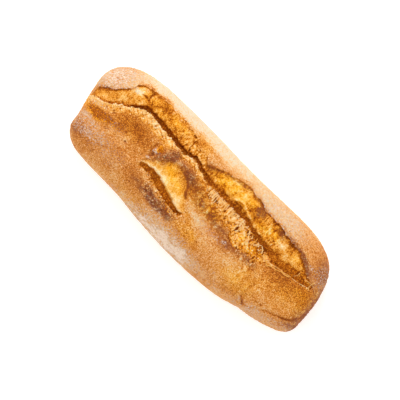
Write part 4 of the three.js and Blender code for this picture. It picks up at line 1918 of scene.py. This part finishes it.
class Growth(Tree):
    """Builds the geometry nodes that grow a piece, with named inputs for its sizes."""

    def __init__(self, name: str, inputs: dict[str, float]) -> None:
        """Starts the tree.

        Args:
            name: The tree's name.
            inputs: The named inputs and their values.
        """
        super().__init__(bpy.data.node_groups.new(name, "GeometryNodeTree"))
        face = self.tree.interface
        face.new_socket("Geometry", in_out="INPUT", socket_type="NodeSocketGeometry")
        self.values = {}
        for label, value in inputs.items():
            socket = face.new_socket(label, in_out="INPUT", socket_type="NodeSocketFloat")
            self.values[socket.identifier] = value
        face.new_socket("Geometry", in_out="OUTPUT", socket_type="NodeSocketGeometry")
        self.start = self.add("NodeGroupInput", {}, {})

    def given(self, label: str) -> Value:
        """One of the named inputs."""
        return Value(self, self.start.outputs[label])

    def carried(self, name: str) -> Value:
        """Reads a number that the mesh carries."""
        return self.value("GeometryNodeInputNamedAttribute", {"data_type": "FLOAT"}, {"Name": name})

    def random(self, low: object, high: object, seed: int) -> Value:
        """A random number for each thing."""
        return self.value("FunctionNodeRandomValue", {"data_type": "FLOAT"}, {
            2: low, 3: high, "Seed": seed}, 1)

    def vector(self, x: object, y: object, z: object) -> Socket:
        """Joins three numbers into a vector."""
        return self.add("ShaderNodeCombineXYZ", {}, {0: x, 1: y, 2: z}).outputs[0]

    def scatter(self, density: Value, shape: Socket, scale: Socket, tone: Value, seed: int) -> Socket:
        """Scatters copies of a shape over the mesh, each turned its own way.

        Args:
            density: How many there are in a square metre.
            shape: The shape.
            scale: The size of each one.
            tone: The tone that each one carries.
            seed: Chooses their places.

        Returns:
            The copies.
        """
        points = self.add("GeometryNodeDistributePointsOnFaces", {}, {
            "Mesh": self.start.outputs["Geometry"], "Density": density, "Seed": seed})
        turn = self.vector(*(self.random(0.0, 2.0 * math.pi, seed + 1 + axis) for axis in range(3)))
        placed = self.add("GeometryNodeInstanceOnPoints", {}, {
            "Points": points.outputs["Points"], "Instance": shape, "Rotation": turn,
            "Scale": scale})
        return self.add("GeometryNodeStoreNamedAttribute", {
            "data_type": "FLOAT", "domain": "INSTANCE"}, {
            "Geometry": placed.outputs[0], "Name": "tone", "Value": tone}).outputs[0]

    def lumpy(self, geometry: Socket, size: float, amount: object) -> Socket:
        """Moves each point a random way, the same way for points close together.

        Args:
            geometry: What is moved.
            size: The size of the lumps, in metres.
            amount: How far, in metres.

        Returns:
            The moved geometry.
        """
        noise = self.add("ShaderNodeTexNoise", {}, {"Scale": 1.0 / size, "Detail": 1.0})
        centred = self.add("ShaderNodeVectorMath", {"operation": "SUBTRACT"}, {
            0: noise.outputs["Color"], 1: (0.5, 0.5, 0.5)})
        offset = self.add("ShaderNodeVectorMath", {"operation": "SCALE"}, {
            0: centred.outputs[0], "Scale": amount})
        return self.add("GeometryNodeSetPosition", {}, {
            "Geometry": geometry, "Offset": offset.outputs[0]}).outputs[0]

    def grow(self, piece: Piece, geometry: Socket, material: bpy.types.Material) -> None:
        """Ends the tree and makes the piece's mesh what the tree makes of it.

        Args:
            piece: The piece, whose mesh is the tree's input.
            geometry: What the tree makes.
            material: The finish that it gets.
        """
        smooth = self.add("GeometryNodeSetShadeSmooth", {}, {"Geometry": geometry})
        real = self.add("GeometryNodeRealizeInstances", {}, {"Geometry": smooth.outputs[0]})
        dressed = self.add("GeometryNodeSetMaterial", {}, {
            "Geometry": real.outputs[0], "Material": material})
        self.add("NodeGroupOutput", {}, {"Geometry": dressed.outputs[0]})
        modifier = piece.modifiers.new(self.tree.name, "NODES")
        modifier.node_group = self.tree
        for identifier, value in self.values.items():
            modifier[identifier] = value
        apply_modifiers(piece)
        drop_masks(piece)


def drop_masks(piece: Piece, *kept: str) -> None:
    """Takes from a piece's mesh the bread's masks that its finish doesn't read.

    Args:
        piece: The piece.
        *kept: The names of the masks that stay.
    """
    layers = piece.data.attributes
    for mask in fields(Skin):
        if mask.name in layers and mask.name not in kept:
            layers.remove(layers[mask.name])


def copy_piece(piece: Piece, name: str) -> Piece:
    """Makes a new piece with a copy of another's mesh.

    Args:
        piece: The piece that is copied.
        name: The copy's name.

    Returns:
        The copy, with no material.
    """
    mesh = piece.data.copy()
    mesh.name = name
    mesh.materials.clear()
    return add_object(name, mesh)


@dataclass
class Scattered:
    """Small things that lie all over the bread, as many to a square millimetre as density says."""

    density: float
    least: float
    most: float
    seed: int

    def start(self, bread: Piece, name: str, tree: str) -> tuple[Piece, Growth]:
        """Starts the piece and the tree that scatters it."""
        return copy_piece(bread, name), Growth(tree, {
            "Density": self.density / MM ** 2, "Least": self.least * MM, "Most": self.most * MM})


@dataclass
class LooseCrumbs(Scattered):
    """Small crumbs that cling to the torn edges."""

    density: float = 0.55
    least: float = 0.5
    most: float = 2.1
    seed: int = 31
    finish: CrumbFinish = field(default_factory=CrumbFinish)

    def build(self, bread: Piece) -> Piece:
        """Scatters the crumbs.

        Args:
            bread: The finished bread, whose mesh says where they lie.

        Returns:
            The finished piece.
        """
        piece, growth = self.start(bread, "loose_crumbs", "scatter_crumbs")
        cube = growth.add("GeometryNodeMeshCube", {}, {
            "Size": (1.0, 1.0, 1.0), "Vertices X": 3, "Vertices Y": 3, "Vertices Z": 3})
        place = growth.add("GeometryNodeInputPosition", {}, {})
        round_place = growth.add("ShaderNodeVectorMath", {"operation": "NORMALIZE"}, {
            0: place.outputs[0]})
        half = growth.add("ShaderNodeVectorMath", {"operation": "SCALE"}, {
            0: round_place.outputs[0], "Scale": 0.5})
        ball = growth.add("GeometryNodeSetPosition", {}, {
            "Geometry": cube.outputs["Mesh"], "Position": half.outputs[0]})
        share = growth.random(0.0, 1.0, self.seed + 8) ** 2.0
        size = growth.given("Least") + share * (growth.given("Most") - growth.given("Least"))
        scale = growth.vector(size, size * growth.random(0.6, 1.0, self.seed + 9),
                              size * growth.random(0.5, 0.9, self.seed + 10))
        loose = growth.carried("loose")
        crumbs = growth.scatter(
            growth.given("Density") * loose, ball.outputs[0], scale,
            growth.random(0.0, 0.5, self.seed + 11) + growth.carried("char") * 0.35, self.seed)
        real = growth.add("GeometryNodeRealizeInstances", {}, {"Geometry": crumbs})
        rough = growth.lumpy(real.outputs[0], 0.6 * MM, 0.7 * MM)
        growth.grow(piece, rough, self.finish.material())
        return piece


@dataclass
class FlourGrains(Scattered):
    """Grains of flour on the floury parts of the crust."""

    density: float = 0.62
    least: float = 0.16
    most: float = 0.34
    seed: int = 57
    finish: FlourFinish = field(default_factory=FlourFinish)

    def build(self, bread: Piece) -> Piece:
        """Scatters the grains.

        Args:
            bread: The finished bread, whose mesh says where they lie.

        Returns:
            The finished piece.
        """
        piece, growth = self.start(bread, "flour_grains", "scatter_flour")
        grain = growth.add("GeometryNodeMeshIcoSphere", {}, {"Radius": 0.5, "Subdivisions": 1})
        size = growth.random(growth.given("Least"), growth.given("Most"), self.seed + 8)
        flat = size * growth.random(0.5, 0.9, self.seed + 9)
        grains = growth.scatter(
            growth.given("Density") * (growth.carried("flour") * THICKEST) ** 2.0,
            grain.outputs["Mesh"],
            growth.vector(size, size, flat), growth.random(0.0, 1.0, self.seed + 10), self.seed)
        growth.grow(piece, grains, self.finish.material())
        return piece


@dataclass(frozen=True)
class Thread:
    """A strand of gluten that crosses a split, drawn on the plan of the loaf."""

    points: tuple[tuple[float, float], ...]
    radius: float
    arch: float = 0.5
    tone: float = 0.1


@dataclass
class Strands:
    """Strands of gluten, pulled across the torn band and bridging the split."""

    finish: CrumbFinish = field(default_factory=CrumbFinish)
    first: float = 2.0
    last: float = 42.0
    spacing: float = 1.5
    missing: float = 0.15
    shortest: float = 2.0
    tautness: float = 0.45
    clearance: float = 0.25
    sunk: float = 0.1
    tangle_end: float = 84.0
    tangled: int = 36
    steps: int = 9
    sides: int = 6
    seed: int = 19
    threads: tuple[Thread, ...] = (
        Thread(((125.8, 20.8), (124.4, 18.2), (124.2, 14.6), (126.2, 12.0)), 0.3, 1.0, 0.3),
        Thread(((109.8, 18.2), (110.0, 15.0), (108.0, 12.2)), 0.32, 0.8, 0.35),
        Thread(((117, 16.8), (123, 18.0), (128.5, 17.2), (132.5, 14.6)), 0.26, 0.4, 0.35),
        Thread(((75, 5.8), (78, 4.2), (82, 5.4), (86, 4.4), (90, 6.4)), 0.6, 0.5, 0.35),
        Thread(((84, 2.2), (88, 4.4), (92, 4.6), (97, 7.0), (101, 6.8), (105, 8.4)), 0.5, 0.3, 0.45),
        Thread(((90, 6.4), (94, 7.4), (99, 7.6), (103, 8.9), (108.5, 9.4)), 0.45, 0.4, 0.35),
        Thread(((108.5, 9.4), (113, 10.0), (117, 11.0), (122, 12.6)), 0.45, 0.5, 0.25),
        Thread(((51.0, 13.2), (53.5, 9.0), (57.5, 4.0), (59.5, 0.5)), 0.6, 0.9, 0.2),
        Thread(((37.0, 9.0), (39.5, 11.6), (43.0, 12.0), (46.0, 9.5)), 0.6, 0.8, 0.15),
        Thread(((62.5, 6.0), (65.0, 9.4), (68.5, 11.0), (71.5, 9.0), (73, 6.0)), 0.55, 0.8, 0.2),
    )

    def build(self, bread: Bread) -> Piece:
        """Lays the strands.

        Args:
            bread: The bread, which knows its torn surface.

        Returns:
            The finished piece.
        """
        rng = np.random.default_rng(self.seed)
        split = bread.splits[0]
        threads = [*self.threads, *self._hanging(split, rng), *self._tangle(split, rng)]
        piece = add_object("gluten_strands", self._middles(threads, bread))
        self._swell(piece)
        return piece

    def _hanging(self, split: Split, rng: np.random.Generator) -> list[Thread]:
        """Strands that hang from the sharp lip, down over the torn band.

        Args:
            split: The long split.
            rng: Draws the sizes.

        Returns:
            The strands.
        """
        threads = []
        for start in np.arange(self.first, self.last, self.spacing):
            top = float(split.lip.at(start)) + rng.uniform(-0.8, 0.3)
            foot = max(top - rng.uniform(4.5, 9.0), float(split.tear.at(start)) + 0.5)
            if rng.random() < self.missing or top - foot < self.shortest:
                continue
            lean = rng.normal(0.0, 0.5)
            middle = (start + 0.5 * lean + rng.normal(0.0, 0.3), mix(foot, top, 0.5))
            threads.append(Thread(
                ((start, top), middle, (start + lean, foot)), rng.uniform(0.4, 0.75),
                rng.uniform(0.2, 0.7), rng.uniform(0.08, 0.42)))
        return threads

    def _tangle(self, split: Split, rng: np.random.Generator) -> list[Thread]:
        """Short bowed strands that lie every way on the torn band, darker towards their end.

        Args:
            split: The long split.
            rng: Draws the sizes.

        Returns:
            The strands.
        """
        threads = []
        for _ in range(self.tangled):
            x = rng.uniform(self.last, self.tangle_end)
            y = rng.uniform(float(split.tear.at(x)) + 1.0, float(split.lip.at(x)) - 0.5)
            turn, half = rng.uniform(0.3, 0.75) * math.pi, rng.uniform(1.2, 3.4)
            reach = np.array((math.cos(turn), math.sin(turn))) * half
            bow = np.array((-reach[1], reach[0])) * rng.uniform(-0.5, 0.5)
            points = tuple((x + dx, y + dy) for dx, dy in (-reach, bow, reach))
            threads.append(Thread(
                points, rng.uniform(0.3, 0.55), rng.uniform(0.1, 0.8),
                rng.uniform(0.15, 0.45) + 0.3 * float(smooth_step(54.0, 66.0, x))))
        return threads

    def _middles(self, threads: list[Thread], bread: Bread) -> bpy.types.Mesh:
        """Makes a mesh of the strands' middles, with a radius and a tone at each point.

        Args:
            threads: The strands.
            bread: The bread, which knows its torn surface.

        Returns:
            The mesh.
        """
        corners, edges, radii, tones = [], [], [], []
        share = np.linspace(0.0, 1.0, self.steps)
        taper = 0.55 + 0.45 * np.abs(2.0 * share - 1.0)
        for thread in threads:
            knots = np.linspace(0.0, 1.0, len(thread.points))
            x, y = (np.interp(share, knots, axis) for axis in zip(*thread.points))
            bed = bread.torn_height(x, y)
            z = mix(bed, np.linspace(bed[0], bed[-1], self.steps), self.tautness) + self.clearance
            z = np.maximum(z, bed - self.sunk) + thread.arch * np.sin(math.pi * share)
            first = len(corners)
            corners.extend(np.stack([x, y, z], 1))
            edges.extend((first + step, first + step + 1) for step in range(self.steps - 1))
            radii.extend(thread.radius * taper)
            tones.extend([thread.tone] * self.steps)
        mesh = bpy.data.meshes.new("gluten_strands")
        mesh.from_pydata(np.array(corners) * bread.scale + bread.shift, edges, [])
        carry(mesh, "radius", np.array(radii) * MM)
        carry(mesh, "tone", np.array(tones))
        return mesh

    def _swell(self, piece: Piece) -> None:
        """Gives the strands their thickness.

        Args:
            piece: The strands' middles.
        """
        growth = Growth("swell_strands", {"Thickness": 1.0, "Unevenness": 0.35 * MM})
        curve = growth.add("GeometryNodeMeshToCurve", {}, {
            "Mesh": growth.start.outputs["Geometry"]})
        ring = growth.add("GeometryNodeCurvePrimitiveCircle", {}, {
            "Resolution": self.sides, "Radius": 1.0})
        tubes = growth.add("GeometryNodeCurveToMesh", {}, {
            "Curve": curve.outputs[0], "Profile Curve": ring.outputs["Curve"],
            "Scale": growth.carried("radius") * growth.given("Thickness"), "Fill Caps": True})
        rough = growth.lumpy(tubes.outputs[0], 1.5 * MM, growth.given("Unevenness"))
        growth.grow(piece, rough, self.finish.material())


@dataclass(frozen=True)
class Studio:
    """A pale floor, soft lights and a camera that looks straight down on the loaf."""

    floor_size: float = 6.0
    floor_grey: float = 0.9
    floor_glow: float = 0.35
    floor_roughness: float = 0.9
    sky_strength: float = 0.95
    key_strength: float = 9.0
    key_size: float = 0.55
    key_place: tuple[float, float, float] = (-0.75, 0.85, 1.0)
    view_turn: float = 45.0
    lens: float = 400.0
    sensor: float = 36.0
    frame_width: float = 0.361
    frame_level: float = 0.02
    centre: tuple[float, float] = (-0.00042, 0.00105)

    def build(self) -> None:
        """Sets up the floor, the lights, the sky and the camera."""
        self._floor()
        self._sky()
        self._key_light()
        self._camera()
        bpy.context.scene.view_settings.view_transform = "Standard"

    def _floor(self) -> None:
        """Lays a wide, pale, plain floor."""
        half = 0.5 * self.floor_size
        mesh = bpy.data.meshes.new("floor")
        corners = [(-half, -half, 0), (half, -half, 0), (half, half, 0), (-half, half, 0)]
        mesh.from_pydata(corners, [], [(0, 1, 2, 3)])
        mesh.materials.append(Shader("pale_floor").finish({
            "Base Color": (*[self.floor_grey] * 3, 1.0), "Roughness": self.floor_roughness,
            "Emission Color": (1.0, 1.0, 1.0, 1.0), "Emission Strength": self.floor_glow}))
        add_object("floor", mesh)

    def _sky(self) -> None:
        """Fills the shadows with even, white light."""
        world = bpy.data.worlds.new("studio")
        world.use_nodes = True
        background = world.node_tree.nodes["Background"]
        background.inputs["Color"].default_value = (1.0, 1.0, 1.0, 1.0)
        background.inputs["Strength"].default_value = self.sky_strength
        bpy.context.scene.world = world

    def _key_light(self) -> None:
        """Hangs one large soft light over the north-west corner."""
        light = bpy.data.lights.new("key", "AREA")
        light.size = self.key_size
        light.energy = self.key_strength
        key = add_object("key", light)
        key.location = self.key_place
        x, y, z = self.key_place
        key.rotation_euler = (math.atan2(math.hypot(x, y), z), 0.0, math.atan2(-x, y) + math.pi)

    def _camera(self) -> None:
        """Hangs the camera over the loaf."""
        camera = add_object("camera", bpy.data.cameras.new("camera"))
        camera.data.lens = self.lens
        camera.data.sensor_width = self.sensor
        away = self.frame_width * self.lens / self.sensor
        camera.location = (*self.centre, self.frame_level + away)
        camera.rotation_euler = (0.0, 0.0, math.radians(self.view_turn))
        bpy.context.scene.camera = camera


def main() -> None:
    """Builds the loaf and all that lies on it, then the studio round it."""
    logging.basicConfig(level=logging.INFO, format="%(name)s: %(message)s")
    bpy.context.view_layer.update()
    maker = Bread()
    bread = maker.build()
    pieces = {
        "crust": [bread],
        "crumb": [LooseCrumbs().build(bread), Strands().build(maker)],
        "flour": [FlourGrains().build(bread)],
    }
    drop_masks(bread, "torn", "bake", "gold", "flour", "char")
    for slot, made in pieces.items():
        for piece in made:
            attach(piece, "root")
            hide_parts("loaf")
            LOG.info("%s: %d faces", piece.name, len(piece.data.polygons))
    Studio().build()


if __name__ == "__main__":
    main()
